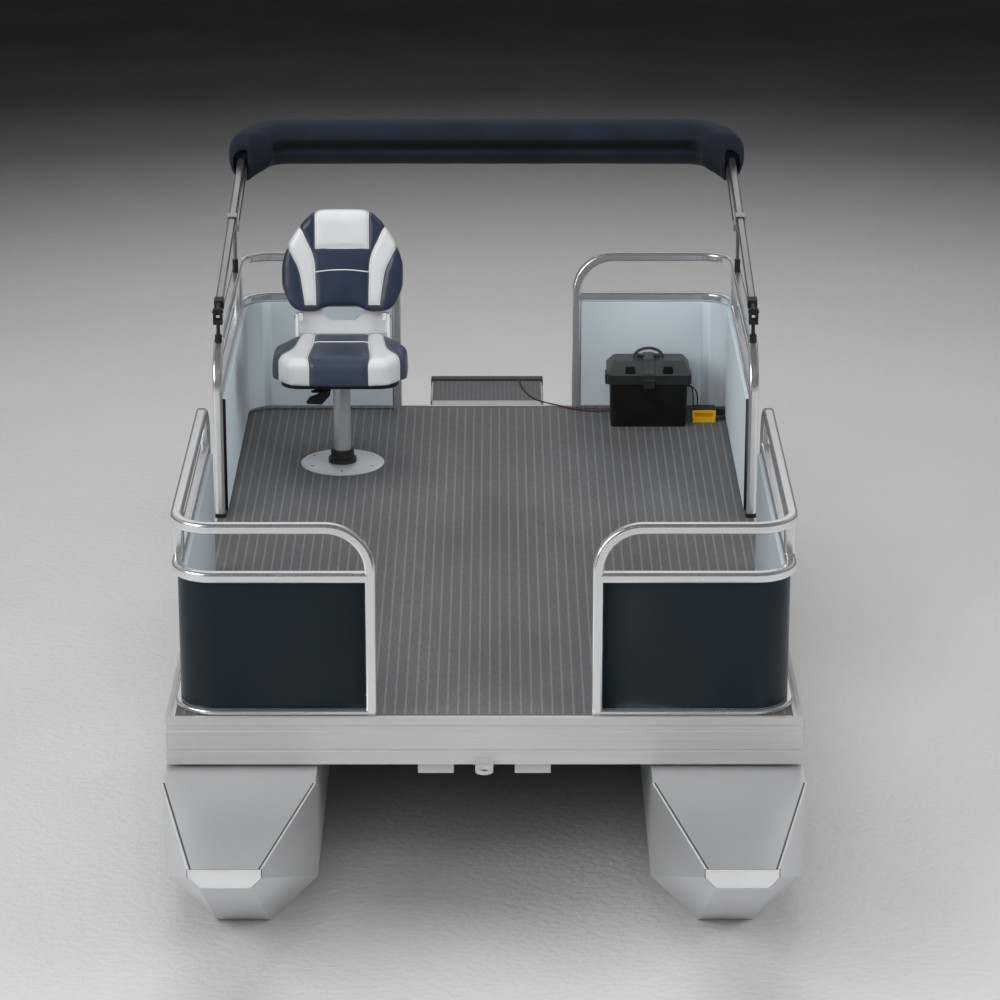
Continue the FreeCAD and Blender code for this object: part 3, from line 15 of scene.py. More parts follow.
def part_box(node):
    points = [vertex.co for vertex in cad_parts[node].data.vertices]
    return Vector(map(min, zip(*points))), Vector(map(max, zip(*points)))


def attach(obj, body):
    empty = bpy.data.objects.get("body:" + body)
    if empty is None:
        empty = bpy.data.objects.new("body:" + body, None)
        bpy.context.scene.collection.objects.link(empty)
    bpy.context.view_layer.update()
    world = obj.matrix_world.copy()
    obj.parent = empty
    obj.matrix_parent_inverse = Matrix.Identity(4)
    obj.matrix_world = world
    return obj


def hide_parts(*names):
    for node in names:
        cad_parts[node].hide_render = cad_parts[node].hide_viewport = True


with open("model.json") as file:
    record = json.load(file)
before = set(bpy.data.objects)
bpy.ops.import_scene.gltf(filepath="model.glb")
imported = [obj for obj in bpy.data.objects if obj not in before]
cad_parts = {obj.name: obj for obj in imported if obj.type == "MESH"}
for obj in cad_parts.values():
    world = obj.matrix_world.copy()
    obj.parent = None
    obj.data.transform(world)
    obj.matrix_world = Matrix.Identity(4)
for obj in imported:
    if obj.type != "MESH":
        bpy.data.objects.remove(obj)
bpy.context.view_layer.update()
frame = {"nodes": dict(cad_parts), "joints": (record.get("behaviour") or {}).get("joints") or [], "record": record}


# Studio: the boat stands on a large pale floor, seen from high over the bow with a long lens.
# The lamps are big soft panels, so the metal shows broad light bands and the floor a soft shadow.
CAMERA_SPOT = (0.0365, -11.1405, 4.651)
CAMERA_TURN = (71.056, 0.0, -0.0513)
LENS = 133.2
SENSOR = 36.0
FLOOR_HALF = 70.0


def tint(red, green, blue):
    """A colour as it is seen, 0 to 255, in Blender's linear values."""
    return tuple(((c / 255 + 0.055) / 1.055) ** 2.4 if c > 10 else c / 3294.6 for c in (red, green, blue))


def new_finish(name, colour, roughness, metallic=0.0):
    """A material and its shader, with constant values; the caller adds what the surface shows."""
    material = bpy.data.materials.new(name)
    material.use_nodes = True
    shader = material.node_tree.nodes["Principled BSDF"]
    shader.inputs["Base Color"].default_value = (*colour, 1)
    shader.inputs["Roughness"].default_value = roughness
    shader.inputs["Metallic"].default_value = metallic
    return material, shader


def link(output, socket):
    """Joins two sockets of one node tree."""
    output.id_data.links.new(output, socket)


def own_place(shader, spot=(0, 0, 0), turn=(0, 0, 0), stretch=(1, 1, 1)):
    """The piece's own coordinates, centred on a spot, turned and stretched."""
    place = shader.id_data.nodes.new("ShaderNodeTexCoord")
    centre = shader.id_data.nodes.new("ShaderNodeMapping")
    centre.vector_type = "TEXTURE"
    centre.inputs["Location"].default_value = spot
    centre.inputs["Rotation"].default_value = [math.radians(a) for a in turn]
    centre.inputs["Scale"].default_value = [1 / s for s in stretch]
    link(place.outputs["Object"], centre.inputs["Vector"])
    return centre.outputs["Vector"]


def cloudy(shader, scale, stretch=(1, 1, 1), detail=4.0):
    """Noise in the piece's own coordinates; stretch below 1 draws it out along an axis."""
    pattern = shader.id_data.nodes.new("ShaderNodeTexNoise")
    pattern.inputs["Scale"].default_value = scale
    pattern.inputs["Detail"].default_value = detail
    link(own_place(shader, stretch=stretch), pattern.inputs["Vector"])
    return pattern.outputs["Fac"]


def spread(value, start=0.3, end=0.7, low=0.0, high=1.0):
    """A value from start to end laid onto low to high, and held there beyond them.

    Without other numbers it takes a noise pattern's usual range onto 0 to 1."""
    fit = value.id_data.nodes.new("ShaderNodeMapRange")
    for socket, number in (("From Min", start), ("From Max", end), ("To Min", low), ("To Max", high)):
        fit.inputs[socket].default_value = number
    link(value, fit.inputs["Value"])
    return fit.outputs["Result"]


def mixed(share, first, second):
    """Two colours, or colour sockets, mixed by a share."""
    mix = share.id_data.nodes.new("ShaderNodeMix")
    mix.data_type = "RGBA"
    link(share, mix.inputs[0])
    for socket, colour in ((mix.inputs[6], first), (mix.inputs[7], second)):
        if isinstance(colour, tuple):
            socket.default_value = (*colour, 1)
        else:
            link(colour, socket)
    return mix.outputs[2]


def sums(kind, *values):
    """A math node on two values, of which at least one is a socket."""
    tree = next(value for value in values if hasattr(value, "id_data")).id_data
    node = tree.nodes.new("ShaderNodeMath")
    node.operation = kind
    for socket, value in zip(node.inputs, values):
        if hasattr(value, "id_data"):
            link(value, socket)
        else:
            socket.default_value = value
    return node.outputs["Value"]


def relief(shader, height, depth, strength=1.0):
    """Presses a pattern into the surface, so many metres deep."""
    bump = shader.id_data.nodes.new("ShaderNodeBump")
    bump.inputs["Distance"].default_value = depth
    bump.inputs["Strength"].default_value = strength
    link(height, bump.inputs["Height"])
    link(bump.outputs["Normal"], shader.inputs["Normal"])


camera_data = bpy.data.cameras.new("camera")
camera_data.lens = LENS
camera_data.sensor_width = SENSOR
camera_data.clip_end = 300
camera = bpy.data.objects.new("camera", camera_data)
camera.location = CAMERA_SPOT
camera.rotation_euler = [math.radians(a) for a in CAMERA_TURN]
bpy.context.collection.objects.link(camera)
bpy.context.scene.camera = camera

LAMP_AIM = Vector((0, 0, 0.6))
LAMPS = [  # name, place, size, watts, seen in the polish
    ("lamp_over", (-0.8, 0.5, 7.5), 6.0, 255, False),
    ("lamp_left", (-7.0, -5.0, 4.8), 6.0, 450, True),
    ("lamp_right", (7.0, -4.5, 4.2), 5.0, 350, False),
    ("lamp_bow", (-0.5, -10.0, 6.8), 5.0, 320, False),
    ("lamp_stern", (1.5, 8.5, 5.0), 6.0, 140, False),
    ("panel_stern", (0.0, 10.5, 8.5), 7.0, 78, True),
]
for name, spot, size, watts, in_polish in LAMPS:
    lamp = bpy.data.lights.new(name, "AREA")
    lamp.size = size
    lamp.energy = watts
    holder = bpy.data.objects.new(name, lamp)
    holder.location = spot
    holder.rotation_euler = (LAMP_AIM - Vector(spot)).to_track_quat("-Z", "Y").to_euler()
    holder.visible_glossy = in_polish
    bpy.context.collection.objects.link(holder)


def grey_ramp(value, stops, blue):
    """Greys through stops of place and level, with a faint blue cast."""
    ramp = value.id_data.nodes.new("ShaderNodeValToRGB")
    link(value, ramp.inputs["Fac"])
    marks = ramp.color_ramp.elements
    marks.remove(marks[1])
    for stop, _ in stops[1:]:
        marks.new(stop)
    marks[0].position = stops[0][0]
    for mark, (stop, level) in zip(marks, stops):
        mark.color = (level, level, level * blue, 1)
    return ramp.outputs["Color"]


# The sky is dim below, brightest at a steep slant and dark overhead
SKY_LEVELS = ((0.5, 0.012), (0.56, 0.16), (0.62, 0.28), (0.68, 0.36), (0.78, 0.38), (0.88, 0.24), (0.96, 0.1),
              (1.0, 0.08))
world = bpy.data.worlds.new("studio")
bpy.context.scene.world = world
world.use_nodes = True
wall = world.node_tree.nodes["Background"]
direction = world.node_tree.nodes.new("ShaderNodeTexCoord")
split = world.node_tree.nodes.new("ShaderNodeSeparateXYZ")
link(direction.outputs["Generated"], split.inputs["Vector"])
slant = spread(split.outputs["Z"], -1.0, 1.0)
link(grey_ramp(slant, SKY_LEVELS, 1.02), wall.inputs["Color"])
# The light wall stands behind the stern; towards the bow the studio is dimmer
link(spread(split.outputs["Y"], -0.6, 0.8, 0.3, 1.0), wall.inputs["Strength"])

# The floor is painted pale round the boat and darker with distance: a painted pool of light, as in a studio whose lamps
# stand close
FLOOR_FADE = 20.0
FLOOR_LIGHT_POOL = ((0.0, 0.62), (0.15, 0.61), (0.23, 0.56), (0.3, 0.43), (0.36, 0.265), (0.42, 0.105), (0.48, 0.03),
                (0.58, 0.004), (0.8, 0.001))
floor_mesh = bpy.data.meshes.new("floor")
floor_corners = [(x * FLOOR_HALF, y * FLOOR_HALF, 0) for x, y in ((-1, -1), (1, -1), (1, 1), (-1, 1))]
floor_mesh.from_pydata(floor_corners, [], [(0, 1, 2, 3)])
floor = bpy.data.objects.new("floor", floor_mesh)
bpy.context.collection.objects.link(floor)
floor_finish, shader = new_finish("studio_floor", tint(205, 205, 206), 0.6)
far_off = floor_finish.node_tree.nodes.new("ShaderNodeVectorMath")
far_off.operation = "LENGTH"
link(own_place(shader), far_off.inputs[0])
painted_light_pool = grey_ramp(spread(far_off.outputs["Value"], 0.0, FLOOR_FADE), FLOOR_LIGHT_POOL, 1.003)
patchy = spread(cloudy(shader, 1.5), high=0.05)
link(mixed(patchy, painted_light_pool, (0.2, 0.2, 0.2)), shader.inputs["Base Color"])
relief(shader, cloudy(shader, 38, detail=6), 0.011, 0.5)
shader.inputs["Specular IOR Level"].default_value = 0.05
floor.data.materials.append(floor_finish)


# Floats: two closed logs of folded marine sheet, flat on top, with a raked and tapered nose.
# The plates meet in welded seams; the skin keeps the mill's satin and faint lengthwise rolling marks.
SHEET_EDGE = 0.003
BEAD_RADIUS = 0.0026
BEAD_PITCH = 0.0034


def toned(colour, factor):
    """A colour made darker or lighter."""
    return tuple(c * factor for c in colour)


def coloured(shader, share, first, second):
    """Colours a surface by a share between two tones."""
    link(mixed(share, first, second), shader.inputs["Base Color"])


def coloured_over(shader, share, colour):
    """Lays a colour over what a surface shows so far."""
    coloured(shader, share, shader.inputs["Base Color"].links[0].from_socket, colour)


def hazed(shader, pattern, low, high):
    """Lets a surface's roughness follow a pattern."""
    link(spread(pattern, low=low, high=high), shader.inputs["Roughness"])


def grained(name, colour, roughness, grain, depth, strength, metallic=0.0):
    """A material of one even colour with a fine grain."""
    material, shader = new_finish(name, colour, roughness, metallic)
    relief(shader, cloudy(shader, grain), depth, strength)
    return material


def sheet_metal(name, colour, roughness, streak, fineness=1.0):
    """Rolled aluminium sheet: satin, a little cloudy, with fine marks drawn out along the boat."""
    material, shader = new_finish(name, colour, roughness, 0.6)
    clouds = cloudy(shader, 2.3 * fineness, (1, 0.35, 1), 5)
    marks = cloudy(shader, 260 * fineness, streak, 4)
    coloured(shader, spread(clouds, 0.32, 0.68), toned(colour, 0.94), toned(colour, 1.05))
    haze = sums("ADD", spread(clouds, low=-0.04, high=0.04), spread(marks, low=-0.02, high=0.02))
    link(sums("ADD", haze, roughness), shader.inputs["Roughness"])
    relief(shader, marks, 0.0001, 0.12)
    return material


def link_piece(name, mesh, *materials):
    """A new piece in the scene, in the frame's own coordinates."""
    piece = bpy.data.objects.new(name, mesh)
    bpy.context.collection.objects.link(piece)
    if materials:
        mesh.materials.clear()
    for material in materials:
        mesh.materials.append(material)
    return piece


def placed(piece, body, node=None):
    """Puts a piece on its body, and in the place of a CAD node."""
    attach(piece, body)
    if node:
        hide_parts(node)
    return piece


def written(form, mesh, smooth=True):
    """Writes an edited form into a mesh, with smooth or flat faces."""
    for face in form.faces:
        face.smooth = smooth
    form.to_mesh(mesh)
    form.free()
    return mesh


def form_piece(name, form, material, body, node=None, smooth=False):
    """A piece from an edited form."""
    mesh = written(form, bpy.data.meshes.new(name), smooth)
    return placed(link_piece(name, mesh, material), body, node)


def skinned(form, rings, capped=True):
    """Faces between rings of points, and over both ends, all looking outwards."""
    for ring, after in zip(rings, rings[1:]):
        for i in range(len(ring)):
            j = (i + 1) % len(ring)
            form.faces.new((ring[i], ring[j], after[j], after[i]))
    if capped:
        form.faces.new(rings[0])
        form.faces.new(rings[-1])
    bmesh.ops.recalc_face_normals(form, faces=form.faces)


def made_mesh(maker):
    """The mesh that an object's modifiers or curve make of it; the object itself goes."""
    mesh = bpy.data.meshes.new_from_object(maker.evaluated_get(bpy.context.evaluated_depsgraph_get()))
    bpy.data.objects.remove(maker)
    return mesh


def part_finished(piece, material, picks):
    """Gives a further finish to the faces of a piece that a rule picks."""
    piece.data.materials.append(material)
    for face in piece.data.polygons:
        if picks(face):
            face.material_index = len(piece.data.materials) - 1


JOIN_GAP = 0.00002
FLAT_ANGLE = 0.6
SHARP_ANGLE = 28


def merged_copy(node):
    """A CAD node's mesh copied, its loose triangles joined and its flat faces made whole."""
    mesh = frame["nodes"][node].data.copy()
    if "custom_normal" in mesh.attributes:
        mesh.attributes.remove(mesh.attributes["custom_normal"])
    form = bmesh.new()
    form.from_mesh(mesh)
    bmesh.ops.remove_doubles(form, verts=form.verts, dist=JOIN_GAP)
    bmesh.ops.dissolve_limit(form, angle_limit=math.radians(FLAT_ANGLE), verts=form.verts, edges=form.edges)
    return written(form, mesh)


def eased(node, edge, material, body="boat", steps=2):
    """A piece that stands for a CAD node, with its sharp edges eased as real ones are."""
    piece = link_piece(node + "_eased", merged_copy(node), material)
    ease = piece.modifiers.new("eased_edges", "BEVEL")
    ease.width = edge
    ease.segments = steps
    ease.limit_method = "ANGLE"
    ease.angle_limit = math.radians(SHARP_ANGLE)
    ease.harden_normals = True
    return placed(piece, body, node)


def coat(node, material):
    """Gives a CAD node its finish."""
    for holder in frame["nodes"][node].material_slots:
        holder.material = material


def repeats(name, shape, fixed, fed, along=False, turned=False, squash=1.0, **sizes):
    """A Geometry Nodes tree that sets a shape on every point, or at a Pitch along every line.

    sizes are the tree's own inputs, with Finish for its material. fixed holds the shape's constant inputs,
    and fed names the size that each other input takes, or three sizes for a vector."""
    tree = bpy.data.node_groups.new(name, "GeometryNodeTree")
    for way in ("INPUT", "OUTPUT"):
        tree.interface.new_socket("Geometry", in_out=way, socket_type="NodeSocketGeometry")
    for size, value in sizes.items():
        kind = "NodeSocketMaterial" if size == "Finish" else "NodeSocketFloat"
        tree.interface.new_socket(size, in_out="INPUT", socket_type=kind).default_value = value
    source, unit, row, real, painted, result = (tree.nodes.new(kind) for kind in (
        "NodeGroupInput", shape, "GeometryNodeInstanceOnPoints", "GeometryNodeRealizeInstances",
        "GeometryNodeSetMaterial", "NodeGroupOutput"))
    given = source.outputs
    row.inputs["Scale"].default_value = (1, 1, squash)
    for socket, value in fixed.items():
        unit.inputs[socket].default_value = value
    for socket, size in fed.items():
        if isinstance(size, tuple):
            three = tree.nodes.new("ShaderNodeCombineXYZ")
            for part, axis in zip(size, "XYZ"):
                link(given[part], three.inputs[axis])
            link(three.outputs["Vector"], unit.inputs[socket])
        else:
            link(given[size], unit.inputs[socket])
    points = given["Geometry"]
    if along:
        line = tree.nodes.new("GeometryNodeMeshToCurve")
        stops = tree.nodes.new("GeometryNodeCurveToPoints")
        stops.mode = "LENGTH"
        link(points, line.inputs["Mesh"])
        link(line.outputs["Curve"], stops.inputs["Curve"])
        link(given["Pitch"], stops.inputs["Length"])
        points = stops.outputs["Points"]
        if turned:
            link(stops.outputs["Rotation"], row.inputs["Rotation"])
    link(points, row.inputs["Points"])
    link(unit.outputs["Mesh"], row.inputs["Instance"])
    link(row.outputs["Instances"], real.inputs["Geometry"])
    link(real.outputs["Geometry"], painted.inputs["Geometry"])
    link(given["Finish"], painted.inputs["Material"])
    link(painted.outputs["Geometry"], result.inputs["Geometry"])
    return tree


def laid_out(name, tree, lines, material, body, slot, **sizes):
    """Runs a tree over lines of points and keeps the result as a plain piece."""
    verts = [point for line in lines for point in line]
    edges = []
    first = 0
    for line in lines:
        edges += [(first + i, first + i + 1) for i in range(len(line) - 1)]
        first += len(line)
    mesh = bpy.data.meshes.new(name + "_route")
    mesh.from_pydata(verts, edges, [])
    host = link_piece(name + "_route", mesh)
    maker = host.modifiers.new("layout", "NODES")
    maker.node_group = tree
    given = {"Finish": material, **sizes}
    for item in tree.interface.items_tree:
        if item.in_out == "INPUT" and item.name in given:
            maker[item.identifier] = given[item.name]
    bpy.context.view_layer.update()
    return placed(link_piece(name, made_mesh(host), material), body)


slot_of = {part["node"]: part["material_slot"] for part in frame["record"]["subparts"]}
float_metal = sheet_metal("float_sheet", (0.66, 0.665, 0.675), 0.36, (1, 0.05, 1))
bead_metal = grained("weld_bead", (0.8, 0.8, 0.81), 0.35, 420, 0.0006, 0.6, 0.5)
# The bead is laid drop by drop: small spheres along the seam, closer together than they are wide
bead_tree = repeats("weld_bead", "GeometryNodeMeshIcoSphere", {"Subdivisions": 2}, {"Radius": "Radius"}, along=True,
                    Radius=BEAD_RADIUS, Pitch=BEAD_PITCH, Finish=bead_metal)

NEAR = 0.001
NOSE_TIP_DEPTH = 0.05
SEAM_INSET = 0.0055
SEAM_RADIUS = 0.003
SEAM_SINK = 0.00165
SEAM_SETBACK = 0.004
RIM_RADIUS = 0.0021
RIM_SPREAD = 1.03
RIM_SETBACK = 0.0028
# The nose's forward face gets a lighter copy of the float sheet: painted light where the plate faces the bow
lit_nose_metal = sheet_metal("nose_plate_lit", (0.86, 0.865, 0.87), 0.4, (1, 1, 0.2), 1.7)
# Dark cords sunk along the nose seams and round the tip: painted shade of the seams' grooves
seam_shade_cord = grained("seam_shade_cord", tint(74, 76, 78), 0.6, 700, 0.0003, 0.5)


def round_curve(name, kind, points, radius, fineness):
    """A round cord, closed at its ends, on one spline through its points."""
    curve = bpy.data.curves.new(name, "CURVE")
    curve.dimensions = "3D"
    curve.bevel_depth = radius
    curve.bevel_resolution = fineness
    curve.use_fill_caps = True
    spline = curve.splines.new(kind)
    spline.points.add(len(points) - 1)
    for place, point in zip(spline.points, points):
        place.co = (*point, 1)
    return curve, spline


def tube_along(name, points, radius, material, body):
    """A small round cord laid along a line."""
    mesh = made_mesh(link_piece(name, round_curve(name, "POLY", points, radius, 3)[0]))
    for face in mesh.polygons:
        face.use_smooth = True
    return placed(link_piece(name, mesh, material), body)


def ringed(points):
    """A line through the points and back to the first."""
    return [tuple(p) for p in points + points[:1]]


for name in ("pontoon_left", "pontoon_right"):
    log = eased(name, SHEET_EDGE, float_metal)
    # Painted light: the forward-facing nose plate takes the lighter sheet
    part_finished(log, lit_nose_metal, lambda face: face.normal.y < -0.9)
    corners = [v.co.copy() for v in log.data.vertices]
    tip_y = min(c.y for c in corners)
    tip = [c for c in corners if c.y < tip_y + NEAR]
    top = max(c.z for c in tip)
    middle = sum(c.x for c in tip) / len(tip)
    ring = sorted(tip, key=lambda c: math.atan2(c.z - top + NOSE_TIP_DEPTH / 2, c.x - middle))
    ring_middle = sum(ring, Vector()) / len(ring)
    rim = [ring_middle + (c - ring_middle) * RIM_SPREAD + Vector((0, RIM_SETBACK, 0)) for c in ring]
    # The rim round the nose tip and the seam lines are painted shade, laid as dark cord
    tube_along(name + "_nose_rim", ringed(rim), RIM_RADIUS, seam_shade_cord, "boat")
    seams = [ringed(ring)]
    shoulder_y = min(c.y for c in corners if c.y > tip_y + NEAR and c.z > top - NEAR)
    shoulders = [c for c in corners if abs(c.y - shoulder_y) < NEAR]
    for side in (-1, 1):
        edge_tip, shoulder = (max((c for c in place if c.z > top - NEAR), key=lambda c: side * (c.x - middle))
                              for place in (tip, shoulders))
        chine = min((c for c in shoulders if side * (c.x - shoulder.x) > -2 * NEAR), key=lambda c: c.z)
        seams += [[tuple(edge_tip), tuple(shoulder)], [tuple(shoulder), tuple(chine)]]
        sunk = Vector((-side * SEAM_INSET, 0, -SEAM_SINK))
        gap_line = [edge_tip + sunk + Vector((0, SEAM_SETBACK, 0)), shoulder + sunk]
        tube_along(f"{name}_seam_{'inner' if side * middle < 0 else 'outer'}", gap_line, SEAM_RADIUS, seam_shade_cord, "boat")
    stern_y = max(c.y for c in corners)
    stern = [c for c in corners if c.y > stern_y - NEAR]
    stern_z = sum(c.z for c in stern) / len(stern)
    seams.append(ringed(sorted(stern, key=lambda c: math.atan2(c.z - stern_z, c.x - middle))))
    # No bead reaches below the floor
    seams = [[(x, y, max(z, BEAD_RADIUS)) for x, y, z in seam] for seam in seams]
    laid_out(name + "_welds", bead_tree, seams, bead_metal, "boat", slot_of[name])


# Frame: cross-members on riser angles, and two box beams down the middle, of mill-finished aluminium.
# Each cross-member is welded to the risers, and the risers' feet are welded to the floats at intervals.
frame_metal = sheet_metal("mill_section", (0.6, 0.605, 0.61), 0.4, (0.3, 0.3, 1), 1.4)
for node in ("risers", "cross_members", "stringers"):
    eased(node, 0.0012, frame_metal)

MEMBER_COUNT = 8
MEMBER_WIDTH = 0.045
RISER_LEGS = (0.575, 0.825)
RISER_TOES = (0.54, 0.86)
FOOT_WELD = 0.06
FOOT_PITCH = 0.3
FOOT_START = 0.4
riser_low, riser_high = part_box("risers")
member_low, member_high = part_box("cross_members")
member_step = (member_high[1] - member_low[1] - MEMBER_WIDTH) / (MEMBER_COUNT - 1)
frame_seams = []
for side in (-1, 1):
    for leg in RISER_LEGS:
        for i in range(MEMBER_COUNT):
            start = max(riser_low[1], member_low[1] + i * member_step)
            end = min(riser_high[1], member_low[1] + i * member_step + MEMBER_WIDTH)
            frame_seams.append([(side * leg, start, riser_high[2]), (side * leg, end, riser_high[2])])
    for toe in RISER_TOES:
        for i in range(int((riser_high[1] - riser_low[1]) / FOOT_PITCH)):
            start = riser_low[1] + (i + FOOT_START) * FOOT_PITCH
            frame_seams.append([(side * toe, start, riser_low[2]), (side * toe, start + FOOT_WELD, riser_low[2])])
laid_out("frame_welds", bead_tree, frame_seams, bead_metal, "boat", slot_of["risers"])


# Deck: plywood under sheet vinyl, matt grey with a faint weave.
# Narrow lighter ribs run from bow to stern, moulded into the vinyl at an even pitch.
RIB_PITCH = 0.0303
RIB_WIDTH = 0.0058
RIB_HEIGHT = 0.0007
RIB_INSET = 0.026
VINYL_EDGE = 0.8875
MOULDING_SEAM = 0.001


def deck_vinyl(name, base, worn):
    """Woven-backed vinyl: fine crossed threads, faint blotches and a matt surface."""
    material, shader = new_finish(name, base, 0.72)
    clouds = cloudy(shader, 3.0, (1, 0.4, 1))
    fine = cloudy(shader, 240, (1, 0.12, 1), 3)
    coloured(shader, spread(clouds), toned(base, 0.9), worn)
    coloured_over(shader, spread(fine, 0.35, 0.65, high=0.45), toned(base, 0.62))
    relief(shader, fine, 0.0005, 0.5)
    shader.inputs["Specular IOR Level"].default_value = 0.35
    return material


vinyl = deck_vinyl("deck_vinyl", tint(95, 95, 96), tint(106, 106, 107))
rib_vinyl = deck_vinyl("rib_vinyl", tint(122, 122, 123), tint(130, 130, 131))
# The vinyl stops short of the sides, where an aluminium moulding holds it down
shader = vinyl.node_tree.nodes["Principled BSDF"]
across = vinyl.node_tree.nodes.new("ShaderNodeSeparateXYZ")
link(own_place(shader), across.inputs["Vector"])
off_centre = sums("ABSOLUTE", across.outputs["X"], 0.0)
coloured_over(shader, spread(off_centre, VINYL_EDGE, VINYL_EDGE + MOULDING_SEAM), tint(186, 187, 188))
eased("deck_board", 0.001, vinyl)

rib_tree = repeats("vinyl_ribs", "GeometryNodeMeshCube", {}, {"Size": ("Width", "Run", "Height")},
                   Width=RIB_WIDTH, Run=1.0, Height=RIB_HEIGHT, Finish=rib_vinyl)


def ribbed(name, node, inset, pitch, width, height, material):
    """Ribs along a vinyl surface, centred across it."""
    low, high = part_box(node)
    middle = (low[1] + high[1]) / 2
    count = int((high[0] - low[0] - 2 * inset) / pitch)
    spots = [[((i - (count - 1) / 2) * pitch, middle, high[2])] for i in range(count)]
    laid_out(name, rib_tree, spots, material, "boat", slot_of[node],
             Width=width, Height=2 * height, Run=high[1] - low[1] - 2 * inset)


ribbed("deck_ribs", "deck_board", RIB_INSET, RIB_PITCH, RIB_WIDTH, RIB_HEIGHT, rib_vinyl)
deck_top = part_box("deck_board")[1][2]


# Fascia: one aluminium extrusion, mitred at the deck's corners, satin with fine lines along its run.
# The tow eye is an aluminium angle bolted under the bow.
def extruded(name, colour, roughness):
    """Extruded aluminium: hair lines along every side, because they follow height alone."""
    material, shader = new_finish(name, colour, roughness, 0.55)
    lines = cloudy(shader, 130, (0.015, 0.015, 1), 5)
    clouds = cloudy(shader, 5, (0.5, 0.5, 2.5), 4)
    coloured(shader, spread(lines), toned(colour, 0.93), colour)
    coloured_over(shader, spread(clouds, 0.4, 0.75, high=0.35), toned(colour, 0.88))
    hazed(shader, clouds, roughness - 0.06, roughness + 0.1)
    relief(shader, lines, 0.0003, 0.35)
    return material


fascia_metal = extruded("fascia_extrusion", (0.68, 0.68, 0.68), 0.5)
eased("fascia", 0.0005, fascia_metal, steps=1)
eased("tow_eye", 0.0016, fascia_metal)


# Motor pod: a welded aluminium box behind the deck that carries the engine on its raked transom.
# Its little deck is covered with grey vinyl, and a black moulded cap covers the transom's top.
POD_RIBS = {"inset": 0.012, "pitch": 0.0162, "width": 0.003, "height": 0.0006}
eased("motor_pod", 0.0025, float_metal)
eased("pod_deck", 0.003, deck_vinyl("pod_vinyl", tint(98, 98, 100), tint(104, 104, 106)))
ribbed("pod_ribs", "pod_deck", material=deck_vinyl("pod_rib", tint(116, 116, 118), tint(122, 122, 124)), **POD_RIBS)

# An anodised sill covers the joint between the two decks, and thin mouldings hold the vinyl's sides
SILL_DEPTH = 0.05
MOULDING_WIDTH = 0.005
MOULDING_RISE = 0.0022
MOULDING_SINK = 0.001
MOULDING_END = 0.03
MOULDING_ROUND = 0.0007
anodised = extruded("anodised_moulding", (0.56, 0.56, 0.56), 0.5)


def block(name, low, high, round_off, material, body):
    """A small block between two corners, with its edges rounded."""
    form = bmesh.new()
    bmesh.ops.create_cube(form, size=1.0)
    for vert in form.verts:
        vert.co = [low[i] + (high[i] - low[i]) * (vert.co[i] + 0.5) for i in range(3)]
    bmesh.ops.bevel(form, geom=form.edges[:], offset=round_off, segments=2, affect="EDGES", profile=0.5)
    return form_piece(name, form, material, body)


(left, front, low), (right, back, high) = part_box("pod_deck")
mouldings = {
    "pod_sill": (left, right, front + SILL_DEPTH),
    "pod_moulding_left": (left, left + MOULDING_WIDTH, back - MOULDING_END),
    "pod_moulding_right": (right - MOULDING_WIDTH, right, back - MOULDING_END),
}
for name, (near, far, end) in mouldings.items():
    block(name, (near, front, high - MOULDING_SINK), (far, end, high + MOULDING_RISE), MOULDING_ROUND, anodised, "boat")

cap_plastic, shader = new_finish("cap_plastic", tint(62, 62, 64), 0.55)
coloured(shader, spread(cloudy(shader, 12)), tint(54, 54, 56), tint(66, 66, 68))
relief(shader, cloudy(shader, 900, detail=2), 0.0003, 0.5)
eased("transom_cap", 0.003, cap_plastic)


# Rail sections: rounded-square aluminium tube, bent and welded, then polished along its length.
# The boards between the tubes are painted navy outside and pale blue-grey inside.
def polished(name, colour, roughness):
    """Polished tube: bright, with a soft haze and very fine marks from the wheel."""
    material, shader = new_finish(name, colour, roughness, 0.9)
    haze = cloudy(shader, 9, detail=5)
    coloured(shader, spread(haze), toned(colour, 0.95), colour)
    hazed(shader, haze, roughness - 0.03, roughness + 0.06)
    relief(shader, cloudy(shader, 300, (0.12, 0.12, 0.12), 3), 0.0002, 0.07)
    return material


rail_metal = polished("rail_tube", (0.84, 0.845, 0.85), 0.22)
for end in ("front", "rear"):
    for side in ("left", "right"):
        coat(f"rail_{end}_{side}", rail_metal)

# The front post of each stern section stands in a black rubber foot
FOOT_RISE = 0.014
FOOT_WALL = 0.0015
FOOT_ROUND = 0.002
POST_SIZE = 0.036
foot_rubber = grained("foot_rubber", tint(20, 20, 21), 0.6, 600, 0.0003, 0.4)
for side in ("left", "right"):
    node = "rail_rear_" + side
    tubes = frame["nodes"][node].data.vertices
    post_back = min(v.co.y for v in tubes) + POST_SIZE
    foot = [v.co for v in tubes if v.co.y < post_back and v.co.z < deck_top + 2 * FOOT_RISE]
    low = [min(c[i] for c in foot) - FOOT_WALL for i in range(2)]
    high = [max(c[i] for c in foot) + FOOT_WALL for i in range(2)]
    block("rail_foot_" + side, (*low, deck_top), (high[0], min(high[1], post_back), deck_top + FOOT_RISE), FOOT_ROUND,
          foot_rubber, "boat")

PANEL_SIDES = {"left": -1, "right": 1}
PANEL_ENDS = {"front": -1, "rear": 1}
EDGE_NEAR = 0.0008


def painted(name, colour, shine, dustiness):
    """Baked enamel on sheet: even colour, slight orange peel, dust that dulls it here and there."""
    material, shader = new_finish(name, colour, shine)
    dust = cloudy(shader, 4.5, detail=6)
    coloured(shader, spread(dust, 0.35, 0.75), colour, tuple(c + dustiness for c in colour))
    hazed(shader, dust, shine, shine + 0.1)
    relief(shader, cloudy(shader, 110, detail=2), 0.0003, 0.12)
    shader.inputs["Specular IOR Level"].default_value = 0.22
    return material


